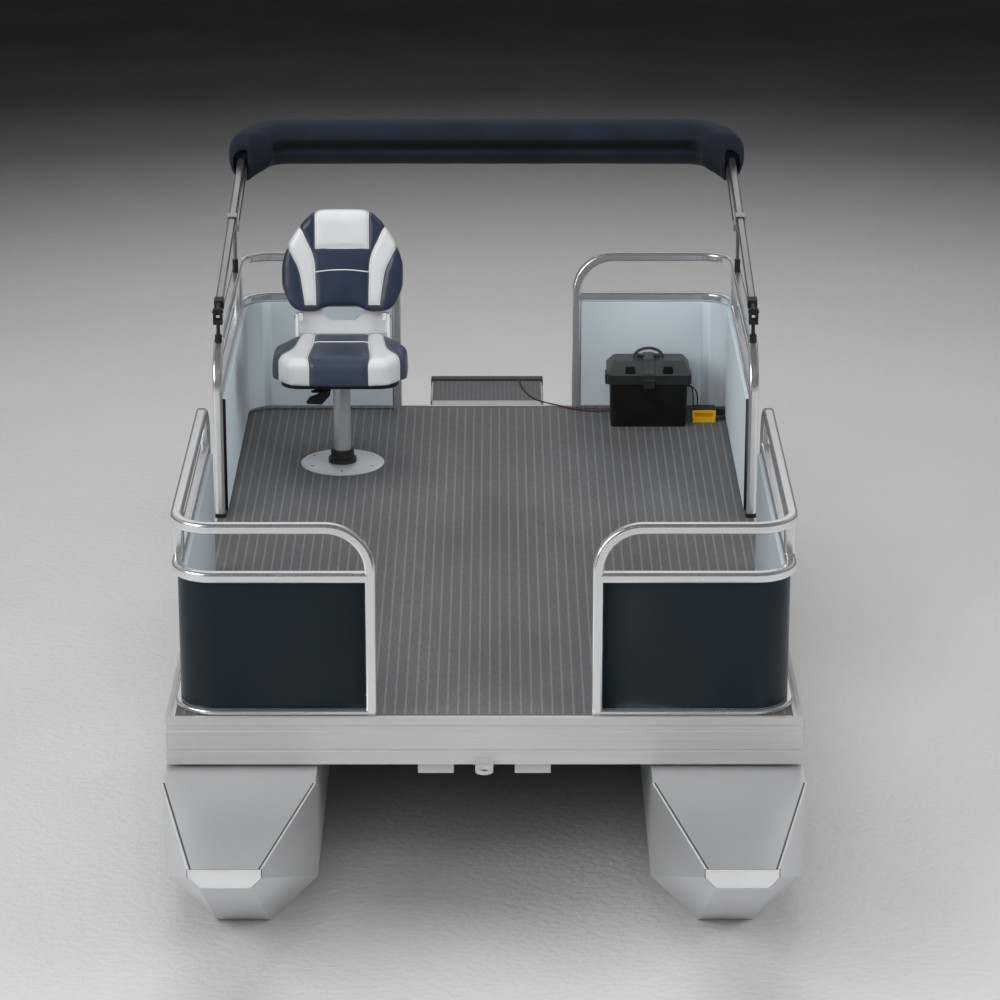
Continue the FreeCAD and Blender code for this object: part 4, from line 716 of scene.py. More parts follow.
outer_paint = painted("panel_outside", tint(17, 32, 40), 0.3, 0.002)
inner_paint = painted("panel_inside", tint(196, 208, 216), 0.42, 0.012)
edge_trim = grained("panel_edge_trim", tint(22, 22, 24), 0.5, 500, 0.0003, 0.4)
for end, end_way in PANEL_ENDS.items():
    for side, side_way in PANEL_SIDES.items():
        node = f"panel_{end}_{side}"
        low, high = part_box(node)
        gate_x = min(abs(low[0]), abs(high[0]))
        far_y = low[1] if end_way > 0 else high[1]
        board = link_piece(node + "_painted", merged_copy(node), outer_paint)
        part_finished(board, inner_paint, lambda face: (
            face.normal.x * side_way + face.normal.y * end_way <= 0 or abs(face.normal.z) > 0.5
            or abs(abs(face.center.x) - gate_x) < EDGE_NEAR))
        part_finished(board, edge_trim, lambda face: abs(face.center.y - far_y) < EDGE_NEAR)
        placed(board, "boat", node)


# Pedestal: a spun aluminium base plate and a brushed tube, with a black nylon bushing round its foot.
# Six screws hold the plate to the deck.
def brushed_round(name, colour, roughness, centre, metallic):
    """Turned aluminium: the marks run round the pedestal's axis."""
    material, shader = new_finish(name, colour, roughness, metallic)
    tree = material.node_tree
    flat = tree.nodes.new("ShaderNodeVectorMath")
    flat.operation = "MULTIPLY"
    flat.inputs[1].default_value = (1, 1, 0)
    away = tree.nodes.new("ShaderNodeVectorMath")
    away.operation = "LENGTH"
    rings = tree.nodes.new("ShaderNodeTexNoise")
    rings.noise_dimensions = "1D"
    rings.inputs["Scale"].default_value = 900
    link(own_place(shader, spot=centre), flat.inputs[0])
    link(flat.outputs["Vector"], away.inputs[0])
    link(away.outputs["Value"], rings.inputs["W"])
    hazed(shader, rings.outputs["Fac"], roughness - 0.08, roughness + 0.08)
    coloured(shader, rings.outputs["Fac"], toned(colour, 0.88), colour)
    relief(shader, rings.outputs["Fac"], 0.0002, 0.3)
    return material


def moulded(name, colour, roughness, grain=700, depth=0.0003):
    """Moulded plastic with a fine spark-eroded grain."""
    material, shader = new_finish(name, colour, roughness)
    wear = cloudy(shader, 14, detail=5)
    lighter = tuple(min(c * 1.25 + 0.004, c + 0.015) for c in colour)
    coloured(shader, spread(wear, 0.35, 0.75), colour, lighter)
    hazed(shader, wear, roughness - 0.05, roughness + 0.08)
    shader.inputs["Specular IOR Level"].default_value = 0.3
    relief(shader, cloudy(shader, grain, detail=2), depth, 0.5)
    return material


base_low, base_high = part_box("pedestal_base")
pedestal_spot = ((base_low[0] + base_high[0]) / 2, (base_low[1] + base_high[1]) / 2, base_low[2])
eased("pedestal_base", 0.0006, brushed_round("pedestal_plate", (0.82, 0.84, 0.85), 0.42, pedestal_spot, 0.5))
coat("pedestal_post", brushed_round("pedestal_tube", (0.72, 0.72, 0.725), 0.3, pedestal_spot, 0.75))
black_nylon = moulded("black_nylon", tint(30, 30, 31), 0.42)
coat("pedestal_bushing", black_nylon)

SCREW_CIRCLE = 0.118
SCREW_HEAD = 0.0062
SCREW_DOME = 0.45
screw_metal = grained("stainless_screw", (0.7, 0.7, 0.7), 0.25, 900, 0.0002, 0.4, 1.0)
screw_tree = repeats("pan_head_screws", "GeometryNodeMeshUVSphere", {"Segments": 12, "Rings": 6}, {"Radius": "Radius"},
                     squash=SCREW_DOME, Radius=SCREW_HEAD, Finish=screw_metal)
screw_spots = []
for i in range(6):
    angle = math.radians(30 + 60 * i)
    screw_spots.append([(pedestal_spot[0] + SCREW_CIRCLE * math.cos(angle),
                         pedestal_spot[1] + SCREW_CIRCLE * math.sin(angle), base_high[2])])
laid_out("base_screws", screw_tree, screw_spots, screw_metal, "boat", "pedestal_aluminium")


# Seat: a white moulded pan and shell on a black steel mount, with padded vinyl covers in navy and white.
# The pads are foam under vinyl panels sewn together; the seams draw in and the panels crown between them.
SEAT_NAVY = tint(38, 49, 66)
CUSHION_SHEEN_NAVY = tint(52, 63, 79)  # paler: painted sheen, where the cushion's top catches the light
SEAT_WHITE = tint(218, 219, 220)
BACK_LEAN = 10.0
PAD_SHRINK = 0.004
PAD_PRESSURE = 4.0
PAD_TRAVEL = 0.012
PAD_FRAMES = 20
PAD_SMOOTHINGS = 3
PAD_HELD = 0.8  # of a voxel, on each side of a seam
PAD_BACK = -0.6
PAD_SIDE = -0.3
GROOVE_DEPTH = 0.006
GROOVE_WIDTH = 0.006
CORNER_LIFT = 0.01
LIFT_HEIGHT = 0.7
LIFT_REACH = 0.16
LIFT_BACK = 0.6
VOXEL = 0.005

hinge_spot = Vector([(low + high) / 2 for low, high in zip(*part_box("backrest_pins"))])
cushion_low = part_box("seat_cushion")[0]
cushion_spot = Vector((pedestal_spot[0], pedestal_spot[1], cushion_low[2]))

# Seams in metres on the pads' own faces: sideways, then up from the hinge or aft of the pedestal
BACK_INNER = [(0.176, 0.335), (0.146, 0.311), (0.122, 0.266), (0.098, 0.208), (0.092, 0.120), (0.0905, 0.043)]
BACK_OUTER = [(0.205, 0.262), (0.190, 0.244), (0.168, 0.205), (0.150, 0.166), (0.139, 0.110), (0.1295, 0.043)]
BACK_FOOT = [(0.0905, 0.043), (0.1295, 0.043)]
BACK_WINDOW = [(0.093, 0.385), (0.093, 0.236), (0.05, 0.241), (0.0, 0.243)]
BACK_HEM = 0.043
BACK_PANE = (0.093, 0.238)  # half width and foot
BACK_SPAN = (0.0, 0.4)
CUSHION_SPAN = (-0.24, 0.14)
CUSHION_INNER = [(0.092, 0.14), (0.094, -0.02), (0.104, -0.16), (0.104, -0.19), (0.092, -0.24)]
CUSHION_OUTER = [(0.138, 0.14), (0.148, 0.02), (0.163, -0.071), (0.19, -0.13), (0.214, -0.18), (0.216, -0.24)]


def flipped(line):
    """The same seam on the other side."""
    return [(-x, y) for x, y in line]


def gap_to(x, y, lines):
    """Distance from a place on a pad's face to the nearest seam."""
    best = 1.0
    for line in lines:
        for (ax, ay), (bx, by) in zip(line, line[1:]):
            length = (bx - ax) ** 2 + (by - ay) ** 2
            along = max(0.0, min(1.0, ((x - ax) * (bx - ax) + (y - ay) * (by - ay)) / length))
            best = min(best, math.hypot(x - ax - along * (bx - ax), y - ay - along * (by - ay)))
    return best


def blow_up(pad, near):
    """Blows a pad up as cloth that is held along its seams and behind, and keeps the shape it takes."""
    held = pad.vertex_groups.new(name="held")
    held.add([i for i, (gap, facing) in enumerate(near) if gap < VOXEL * PAD_HELD or facing < PAD_BACK], 1.0, "REPLACE")
    cloth = pad.modifiers.new("foam", "CLOTH")
    cloth.settings.use_pressure = True
    cloth.settings.uniform_pressure_force = PAD_PRESSURE
    cloth.settings.effector_weights.gravity = 0
    cloth.settings.vertex_group_mass = "held"
    cloth.point_cache.frame_start = 1
    cloth.point_cache.frame_end = PAD_FRAMES
    for frame_number in range(1, PAD_FRAMES + 1):
        bpy.context.scene.frame_set(frame_number)
    blown = pad.evaluated_get(bpy.context.evaluated_depsgraph_get()).data
    moves = [after.co - before.co for before, after in zip(pad.data.vertices, blown.vertices)]
    pad.modifiers.remove(cloth)
    pad.vertex_groups.clear()
    bpy.context.scene.frame_set(1)
    for vert, move in zip(pad.data.vertices, moves):
        vert.co += move.normalized() * PAD_TRAVEL if move.length > PAD_TRAVEL else move


def lift_corners(spots):
    """Draws a cushion's lower front corners up, and its lower front edge back a little."""
    low, high = min(spot.co.z for spot in spots), max(spot.co.z for spot in spots)
    front = min(spot.co.y for spot in spots)
    middle = sum(spot.co.x for spot in spots) / len(spots)
    half = max(spot.co.x for spot in spots) - middle
    for spot in spots:
        beneath = max(0.0, 1 - (spot.co.z - low) / ((high - low) * LIFT_HEIGHT))
        forward = max(0.0, 1 - (spot.co.y - front) / LIFT_REACH)
        spot.co.z += CORNER_LIFT * beneath * forward * ((spot.co.x - middle) / half) ** 2
        spot.co.y += CORNER_LIFT * LIFT_BACK * beneath * forward


def padded_cover(node, body, flat_spot, seams):
    """A pad remeshed from its CAD solid, blown up as cloth between its seams, and grooved along them.

    flat_spot gives a vertex's place on the pad's sewn face and how squarely it faces that way."""
    mesh = merged_copy(node)
    form = bmesh.new()
    form.from_mesh(mesh)
    bmesh.ops.triangulate(form, faces=form.faces)
    form.normal_update()
    for vert in form.verts:
        vert.co -= vert.normal * PAD_SHRINK
    rough = link_piece(node + "_rough", written(form, mesh))
    remesh = rough.modifiers.new("remesh", "REMESH")
    remesh.mode = "VOXEL"
    remesh.voxel_size = VOXEL
    solid = made_mesh(rough)
    solid.materials.clear()
    pad = link_piece(node + "_cover", solid)
    near = []
    for vert in solid.vertices:
        x, y, facing = flat_spot(vert.co, vert.normal)
        near.append((gap_to(x, y, seams), facing))
    blow_up(pad, near)
    solid.update()
    outward = [vert.normal.copy() for vert in solid.vertices]
    for vert, out, (gap, facing) in zip(solid.vertices, outward, near):
        if facing > PAD_SIDE:
            vert.co -= out * GROOVE_DEPTH * math.exp(-((gap / GROOVE_WIDTH) ** 2))
    if node == "seat_cushion":
        lift_corners(solid.vertices)
    form = bmesh.new()
    form.from_mesh(solid)
    for _ in range(PAD_SMOOTHINGS):
        bmesh.ops.smooth_vert(form, verts=form.verts, factor=0.5, use_axis_x=True, use_axis_y=True, use_axis_z=True)
    written(form, solid)
    fine = pad.modifiers.new("fine", "SUBSURF")
    fine.levels = fine.render_levels = 1
    placed(pad, body, node)
    return pad


def edge_curve(place, line, span, reach=0.3):
    """How far out a seam lies at each height of the pad, as a curve worked from the seam's points."""
    curve = place.id_data.nodes.new("ShaderNodeFloatCurve")
    points = curve.mapping.curves[0].points
    stops = sorted((max(0.0, min(1.0, (y - span[0]) / (span[1] - span[0]))), min(1.0, x / reach)) for x, y in line)
    points[0].location = stops[0]
    points[1].location = stops[-1]
    for stop in stops[1:-1]:
        points.new(*stop)
    curve.mapping.update()
    link(spread(place, *span), curve.inputs["Value"])
    return sums("MULTIPLY", curve.outputs["Value"], reach)


def beyond(value, edge):
    """1 where value is past edge, 0 short of it, with a soft step as wide as a thread."""
    return spread(sums("SUBTRACT", value, edge), -0.0006, 0.0006)


def short_of(value, edge):
    """1 where value is short of edge, 0 past it."""
    return sums("SUBTRACT", 1.0, beyond(value, edge))


def sewn_vinyl(name, dark, spot, turn, inner, outer, span, upright, window=None, hem=None):
    """Marine vinyl in navy and white panels; the panels end where the seams run."""
    material, shader = new_finish(name, dark, 0.45)
    parts = material.node_tree.nodes.new("ShaderNodeSeparateXYZ")
    link(own_place(shader, spot=spot, turn=turn), parts.inputs["Vector"])
    out = sums("ABSOLUTE", parts.outputs["X"], 0.0)
    along = parts.outputs[upright]
    white = sums("MULTIPLY", beyond(out, edge_curve(along, inner, span)),
                 short_of(out, edge_curve(along, outer, span)))
    if hem:
        white = sums("MULTIPLY", white, beyond(along, hem))
    if window:
        half, foot = window
        pane = sums("MULTIPLY", short_of(out, half), beyond(along, foot))
        white = sums("MAXIMUM", white, pane)
    grain = material.node_tree.nodes.new("ShaderNodeTexVoronoi")
    grain.inputs["Scale"].default_value = 420
    link(own_place(shader), grain.inputs["Vector"])
    clouds = cloudy(shader, 16, detail=5)
    navy, pale = (mixed(spread(clouds), tone, toned(tone, factor))
                  for tone, factor in ((dark, 1.2), (SEAT_WHITE, 0.93)))
    coloured(shader, white, navy, pale)
    hazed(shader, clouds, 0.34, 0.46)
    shader.inputs["Coat Weight"].default_value = 0.5
    shader.inputs["Coat Roughness"].default_value = 0.34
    relief(shader, grain.outputs["Distance"], 0.0004, 0.35)
    return material


def back_face(spot, normal):
    """Place of a point on the backrest's front, from the hinge, and how squarely it faces the sitter."""
    upright = Matrix.Rotation(math.radians(BACK_LEAN), 3, "X")
    local = upright @ (spot - hinge_spot)
    return local.x, local.z, -(upright @ normal).y


def cushion_face(spot, normal):
    """Place of a point on the cushion's top, from the pedestal, and how squarely it faces up."""
    local = spot - cushion_spot
    return local.x, local.y, normal.z


back_seams = [BACK_INNER, BACK_OUTER, BACK_FOOT, BACK_WINDOW]
back_seams += [flipped(seam) for seam in back_seams]
cushion_seams = [CUSHION_INNER, flipped(CUSHION_INNER), CUSHION_OUTER, flipped(CUSHION_OUTER)]
back_cover = padded_cover("backrest_pad", "backrest", back_face, back_seams)
back_cover.data.materials.append(sewn_vinyl("backrest_vinyl", SEAT_NAVY, tuple(hinge_spot), (-BACK_LEAN, 0, 0),
                                            BACK_INNER, BACK_OUTER, BACK_SPAN, "Z", BACK_PANE, BACK_HEM))
seat_cover = padded_cover("seat_cushion", "seat", cushion_face, cushion_seams)
# The cushion's vinyl takes the paler navy, a painted sheen
seat_cover.data.materials.append(sewn_vinyl("cushion_vinyl", CUSHION_SHEEN_NAVY, tuple(cushion_spot), (0, 0, 0),
                                            CUSHION_INNER, CUSHION_OUTER, CUSHION_SPAN, "Y"))

# White piping crosses each pad in a flat arch, and a row of short threads runs on both sides of each seam
BACK_PIPING = (0.091, 0.158, 0.008)  # half width, foot and arch
CUSHION_PIPING = (0.094, 0.0, -0.02)
PIPING_RADIUS = 0.0022
PIPING_LIFT = 0.0005
STITCH_ASIDE = 0.005
STITCH_LIFT = 0.0002
SEAM_STEP = 0.006
PIPING_STEPS = 40
RAY_START = 0.1
RAY_REACH = 0.3
ABOVE_CUSHION = 0.12
piping_vinyl = moulded("piping_vinyl", SEAT_WHITE, 0.4, 900, 0.0001)
thread = grained("thread", tint(128, 133, 142), 0.7, 1500, 0.0002, 0.5)
stitch_tree = repeats("stitches", "GeometryNodeMeshCylinder", {"Vertices": 6}, {"Radius": "Radius", "Depth": "Stitch"},
                      along=True, turned=True, Radius=0.0005, Stitch=0.0032, Pitch=0.0048, Finish=thread)
back_turn = Matrix.Rotation(math.radians(-BACK_LEAN), 3, "X")


def on_back(x, y):
    """A place in the backrest's plane, in the frame."""
    return hinge_spot + back_turn @ Vector((x, 0, y))


def on_cushion(x, y):
    """A place above the cushion, in the frame."""
    return cushion_spot + Vector((x, y, ABOVE_CUSHION))


def laid_on(skin, points, out, lift):
    """The points dropped onto a pad's skin against the way out of it, and lifted off a little."""
    found = []
    for point in points:
        hit, normal = skin.ray_cast(point + out * RAY_START, -out, RAY_REACH)[:2]
        if hit:
            found.append(tuple(hit + normal * lift))
    return found


def stepped(line):
    """A seam's points close enough together to follow the pad."""
    points = []
    for (ax, ay), (bx, by) in zip(line, line[1:]):
        count = max(1, int(math.hypot(bx - ax, by - ay) / SEAM_STEP))
        points += [(ax + (bx - ax) * i / count, ay + (by - ay) * i / count) for i in range(count)]
    return points + [line[-1]]


def sewn_trim(name, pad, body, spot, out, seams, half, foot, arch):
    """Piping across a pad, as wide as twice half and arched above foot, and the stitches beside its seams."""
    skin = BVHTree.FromObject(pad, bpy.context.evaluated_depsgraph_get())
    across = [half * (2 * i / PIPING_STEPS - 1) for i in range(PIPING_STEPS + 1)]
    piping = laid_on(skin, [spot(x, foot + arch * (1 - (x / half) ** 2)) for x in across], out, PIPING_LIFT)
    tube_along(name + "_piping", piping, PIPING_RADIUS, piping_vinyl, body)
    rows = [laid_on(skin, [spot(x + aside, y) for x, y in stepped(seam)], out, STITCH_LIFT)
            for seam in seams for aside in (-STITCH_ASIDE, STITCH_ASIDE)]
    laid_out(name + "_stitches", stitch_tree, [row for row in rows if len(row) > 1], thread, body, "seat_vinyl")


bpy.context.view_layer.update()
sewn_trim("back", back_cover, "backrest", on_back, back_turn @ Vector((0, -1, 0)), back_seams, *BACK_PIPING)
sewn_trim("cushion", seat_cover, "seat", on_cushion, Vector((0, 0, 1)), cushion_seams, *CUSHION_PIPING)

shell_plastic = moulded("shell_plastic", tint(226, 227, 229), 0.42, 500, 0.0002)
tray = eased("seat_pan", 0.0025, shell_plastic, "seat")
eased("backrest_shell", 0.0025, shell_plastic, "backrest")
black_enamel = moulded("black_enamel", tint(24, 24, 26), 0.35, 300, 0.0002)
eased("seat_mount", 0.0012, black_enamel, "seat")
# Under the cushion the pan is black; only its ears are white
part_finished(tray, black_enamel, lambda face: face.center.z < cushion_low[2] + NEAR)

# A moulded paddle is pushed on the swivel lever
PADDLE = [(-0.030, 0.018), (-0.103, -0.009), (-0.116, -0.027), (-0.112, -0.034), (-0.062, -0.036), (-0.034, -0.004)]
PADDLE_FRONT = -0.137
PADDLE_THICK = 0.013
PADDLE_HEIGHT = 0.905
PADDLE_ROUND = 0.003
form = bmesh.new()
near, far = ([form.verts.new((pedestal_spot[0] + x, pedestal_spot[1] + depth, PADDLE_HEIGHT + z)) for x, z in PADDLE]
             for depth in (PADDLE_FRONT, PADDLE_FRONT + PADDLE_THICK))
form.faces.new(near)
form.faces.new(far[::-1])
for i in range(len(PADDLE)):
    j = (i + 1) % len(PADDLE)
    form.faces.new((near[j], near[i], far[i], far[j]))
bmesh.ops.recalc_face_normals(form, faces=form.faces)
bmesh.ops.bevel(form, geom=form.edges[:], offset=PADDLE_ROUND, segments=3, affect="EDGES", profile=0.5)
form_piece("swivel_paddle", form, black_enamel, "seat")
coat("backrest_pins", screw_metal)


# Battery box: a black moulded case with a lift-off lid, a carry handle and a latch, beside a yellow charger.
# The case has the fine grain of its mould, and its edges are rounded and a little rubbed.
SKIRT_SLOPE = 0.25
case_plastic = moulded("case_plastic", tint(10, 10, 11), 0.5, 600, 0.0003)
lid_plastic = moulded("lid_plastic", tint(58, 61, 61), 0.42, 600, 0.0003)
eased("battery_box", 0.0015, case_plastic)
lid_piece = eased("battery_lid", 0.0018, lid_plastic, "box_lid")
# The lid's skirt is rougher from its mould, and painted darker than the slopes: painted shade on its steep sides
part_finished(lid_piece, moulded("lid_skirt", tint(34, 36, 36), 0.55, 600),
              lambda face: abs(face.normal.z) < SKIRT_SLOPE)
coat("battery_handle", lid_plastic)
coat("battery", case_plastic)

# The lid's strap runs down its front slope, between two snap buckles
STRAP_HALF = 0.02
STRAP_RISE = 0.004
STRAP_RUN = (0.064, 0.008, 8)
STRAP_SINK = 0.001
STRAP_ROUND = 0.0012
STRAP_CORNER = 0.8
BUCKLE_OFFSET = 0.067
BUCKLE_HALF = 0.016
BUCKLE_RISE = 0.0045
BUCKLE_RUN = (0.038, 0.014, 3)
BUCKLE_SIDESTEP = 0.03
lid_tree = BVHTree.FromObject(lid_piece, bpy.context.evaluated_depsgraph_get())
lid_low, lid_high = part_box("battery_lid")
lid_middle = (lid_low[0] + lid_high[0]) / 2


def down_slope(x, start, end, steps):
    """Places down the lid's front, found from above, from start to end behind its front edge."""
    places = []
    for i in range(steps + 1):
        y = lid_low[1] + start + (end - start) * i / steps
        hit, normal = lid_tree.ray_cast(Vector((x, y, lid_high[2] + RAY_START)), Vector((0, 0, -1)), RAY_REACH)[:2]
        if hit:
            places.append((hit, normal))
    return places


def strap(name, x, half, places, rise, material):
    """A flat strip with rounded edges, laid down the lid's front."""
    form = bmesh.new()
    rings = []
    for hit, normal in places:
        up = Vector((0, normal.y, normal.z)).normalized()
        low, high = hit - up * STRAP_SINK, hit + up * rise
        rings.append([form.verts.new(p) for p in ((x - half, low.y, low.z), (x + half, low.y, low.z),
                                                  (x + half, high.y, high.z), (x - half, high.y, high.z))])
    skinned(form, rings)
    sharp = [edge for edge in form.edges if edge.calc_face_angle(0) > STRAP_CORNER]
    bmesh.ops.bevel(form, geom=sharp, offset=STRAP_ROUND, segments=2, affect="EDGES", profile=0.5)
    form_piece(name, form, material, "box_lid")


strap("lid_strap", lid_middle, STRAP_HALF, down_slope(lid_middle, *STRAP_RUN), STRAP_RISE, lid_plastic)
for side, way in (("left", -1), ("right", 1)):
    # The slope is read beside the buckle, where nothing is cut into it
    places = down_slope(lid_middle + way * (BUCKLE_OFFSET + BUCKLE_SIDESTEP), *BUCKLE_RUN)
    strap("lid_buckle_" + side, lid_middle + way * BUCKLE_OFFSET, BUCKLE_HALF, places, BUCKLE_RISE, case_plastic)

# The charger is black behind its yellow face, whose slot is darker and has a rounded rim
CHARGER_FRONT = 0.01
CHARGER_RIM = 0.0016
CHARGER_SLOT = (0.001, 0.0065)
SLOT_FLOOR = (0.003, 0.005)
charger_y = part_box("charger")[0][1]
charger_yellow = moulded("charger_yellow", tint(226, 176, 32), 0.38, 500, 0.0002)
charger_piece = eased("charger", 0.0012, charger_yellow)
part_finished(charger_piece, moulded("charger_black", tint(34, 34, 35), 0.45, 500, 0.0002),
              lambda face: face.center.y - charger_y > CHARGER_FRONT / (2 if abs(face.normal.z) > 0.7 else 1))
part_finished(charger_piece, moulded("charger_amber", tint(196, 140, 16), 0.35, 500, 0.0002),
              lambda face: CHARGER_SLOT[0] < face.center.y - charger_y < CHARGER_SLOT[1] and not face.material_index)
slot_floor = [v.co for v in charger_piece.data.vertices if SLOT_FLOOR[0] < v.co.y - charger_y < SLOT_FLOOR[1]]
(left, right), (foot, head) = ((min(c[i] for c in slot_floor), max(c[i] for c in slot_floor)) for i in (0, 2))
rim = [(x, charger_y, z) for x, z in ((left, foot), (right, foot), (right, head), (left, head))]
tube_along("charger_rim", ringed(rim), CHARGER_RIM, charger_yellow, "boat")


# Folding top, stowed: polished bows that hinge on the stern rails, with the canvas rolled in its boot.
# The boot is navy acrylic canvas, drawn round the roll and its crossbars, and open where the legs leave it.
PIVOT_ENDS = 0.3
bow_metal = polished("bow_tube", (0.33, 0.33, 0.33), 0.24)
for node in ("main_bow", "inner_bow", "rest_strut_left", "rest_strut_right"):
    coat(node, bow_metal)
for node in ("bow_hinge_left", "bow_hinge_right", "strut_ends"):
    eased(node, 0.0012, black_nylon)
# The slides of the inner bow are plain aluminium; only the ends at the pivots are black
fittings = eased("bow_ends", 0.0012, black_nylon, "folding_top")
slides_y = min(v.co.y for v in fittings.data.vertices) + PIVOT_ENDS
part_finished(fittings, bow_metal, lambda face: face.center.y > slides_y)

BOW_RISE = 9.2
BOW_REACH = 1.418
BOOT_HALF = 0.85
BOOT_TAIL = 0.195
BOOT_BEND = 0.13
BOOT_LIFT = 0.014
BOOT_DEEP = 0.075
BOOT_TALL = 0.079
SLEEVE_WIDTH = 0.092
SLEEVE_RUN = 0.115
SLEEVE_RAKE = 0.03
HOOD_RUN = 0.075
HOOD_SIDE = 0.6
HOOD_TOP = 0.52
HOOD_FOOT = 0.88
LEG_OFFSET = 0.0286
FOLD_PLACE = 0.05
FOLD_WIDTH = 0.2
FOLD_DEPTH = 0.3
FOLD_START = 0.1
FOLD_RUN = 0.16
# Where the painted shade lies round the ring, in the fold and on the lower lobe
FOLD_SHADE_PLACE = 0.13
FOLD_SHADE_HALF = 0.16
FOLD_SHADE_SOFT = 0.2
FOLD_FADE = 16
FOLD_CLEAR = 0.4
UNDER_SHADE = 0.5
UNDER_PLACE = -0.1
UNDER_SOFT = 0.3
BOOT_AROUND = 64
BOOT_SQUARENESS = 2.5
CANVAS_THICK = 0.0015
ROLL_SETBACK = 5
ROLL_SIZE = 0.88
ROLL_AROUND = 32
# How often along and round, and how deep
LONG_WAVES = (2.2, 1.7, 0.02)
SHORT_WAVES = (9, 3.1, 0.014)
PIVOT = Vector(next(joint for joint in frame["joints"] if joint["name"] == "top_fold")["pos_m"])
BOW_TURN = Matrix.Rotation(math.radians(BOW_RISE), 3, "X")


def on_bows(x, along, above):
    """A place in the bows' own plane, in the frame."""
    return PIVOT + BOW_TURN @ Vector((x, along, above))


def boot_route(steps_bend=14, steps_run=70, steps_tail=8):
    """Centre line of the roll: up one leg, round the bend, across and down the other."""
    start = BOW_REACH - BOOT_TAIL
    bend_y = BOW_REACH - BOOT_BEND
    bend_x = BOOT_HALF - BOOT_BEND
    route = [(-BOOT_HALF, start + (bend_y - start) * i / steps_tail) for i in range(steps_tail)]
    for i in range(steps_bend):
        angle = math.pi - math.pi / 2 * i / steps_bend
        route.append((-bend_x + BOOT_BEND * math.cos(angle), bend_y + BOOT_BEND * math.sin(angle)))
    route += [(-bend_x + 2 * bend_x * i / steps_run, BOW_REACH) for i in range(steps_run)]
    mirror = [(-x, y) for x, y in reversed(route[:steps_tail + steps_bend])]
    return route + [(bend_x, BOW_REACH)] + mirror


def soft_step(share):
    """0 to 1, with a soft start and end."""
    share = max(0.0, min(1.0, share))
    return share * share * (3 - 2 * share)


def boot_ring(centre, ahead, from_end, size, around):
    """One ring of the canvas round the roll: two lobes with a fold between them on the bow side.

    Near an end the ring narrows on its inner side and is drawn in round the leg."""
    out = Vector((ahead.y, -ahead.x, 0))
    near_end = 1 - soft_step(from_end / SLEEVE_RUN)
    narrow = (2 * BOOT_DEEP - SLEEVE_WIDTH) * near_end
    folded = soft_step((from_end - FOLD_START) / FOLD_RUN)
    hood = math.sqrt(max(0.0, 1 - (1 - min(1.0, from_end / HOOD_RUN)) ** 2))
    leg_at, leg_lift = -LEG_OFFSET, -BOOT_LIFT
    ring = []
    for j in range(around):
        angle = 2 * math.pi * j / around
        c, s = math.cos(angle), math.sin(angle)
        shape = (abs(c) ** BOOT_SQUARENESS + abs(s) ** BOOT_SQUARENESS) ** (-1 / BOOT_SQUARENESS)
        along, round_it, depth = LONG_WAVES
        wave = noise.noise(Vector((centre.x * along, centre.y * along, round_it * c))) * depth
        along, round_it, depth = SHORT_WAVES
        wave += noise.noise(Vector((centre.x * along, round_it * c, round_it * s))) * depth
        fold = math.exp(-(((angle - 2 * math.pi * (angle > math.pi)) - FOLD_PLACE) / FOLD_WIDTH) ** 2)
        reach_out = BOOT_DEEP * c * shape * size * (1 + wave - FOLD_DEPTH * fold * folded)
        if c > 0:
            reach_out *= 1 - narrow / BOOT_DEEP
        height = BOOT_TALL * s * shape * size * (1 + wave)
        # Each end is drawn in round the leg, most of all at its top
        level = HOOD_TOP if s > 0 else HOOD_FOOT
        reach_out = leg_at + (reach_out - leg_at) * (HOOD_SIDE + (1 - HOOD_SIDE) * hood)
        height = leg_lift + (height - leg_lift) * (level + (1 - level) * hood)
        back = near_end * SLEEVE_RAKE * (s + 1) / 2
        ring.append(centre + out * reach_out + Vector((0, 0, height)) + ahead * back)
    return ring


def boot_tube(route, size, around, capped):
    """The canvas, or the roll inside it, as a grid of rings along the bows."""
    form = bmesh.new()
    lengths = [0.0]
    for a, b in zip(route, route[1:]):
        lengths.append(lengths[-1] + math.hypot(b[0] - a[0], b[1] - a[1]))
    grid = []
    for i, (x, y) in enumerate(route):
        before = Vector((*route[max(0, i - 1)], 0))
        after = Vector((*route[min(len(route) - 1, i + 1)], 0))
        way = (after - before).normalized()
        from_end = min(lengths[i], lengths[-1] - lengths[i])
        # The second half mirrors the first
        flip = -1 if i > len(route) // 2 else 1
        ring = boot_ring(Vector((flip * x, y, BOOT_LIFT)), Vector((way.x, flip * way.y, 0)), from_end, size, around)
        grid.append([form.verts.new(on_bows(flip * p.x, p.y, p.z)) for p in ring])
    skinned(form, grid, capped)
    return form, len(grid), lengths[-1]


canvas, shader = new_finish("boot_canvas", tint(28, 34, 48), 0.9)
weave_place = own_place(shader)
threads = []
for direction in ("X", "Z"):
    thread_lines = canvas.node_tree.nodes.new("ShaderNodeTexWave")
    thread_lines.inputs["Scale"].default_value = 420
    thread_lines.bands_direction = direction
    link(weave_place, thread_lines.inputs["Vector"])
    threads.append(thread_lines.outputs["Fac"])
weave = sums("MAXIMUM", *threads)
coloured(shader, spread(cloudy(shader, 7, detail=6)), tint(27, 33, 45), tint(35, 42, 54))
coloured_over(shader, spread(weave, 0.0, 1.0, 0.4, 0.0), tint(14, 17, 28))
# Painted shade: the fold between the lobes is painted dark, and the lower lobe darker too, from a per-point attribute
fold_shade_read = canvas.node_tree.nodes.new("ShaderNodeAttribute")
fold_shade_read.attribute_name = "fold"
coloured_over(shader, spread(fold_shade_read.outputs["Fac"], 0.0, 1.0, high=0.85), tint(7, 8, 9))
relief(shader, weave, 0.0004, 0.3)
for socket, value in (("Specular IOR Level", 0.25), ("Sheen Weight", 0.04), ("Sheen Roughness", 0.5)):
    shader.inputs[socket].default_value = value

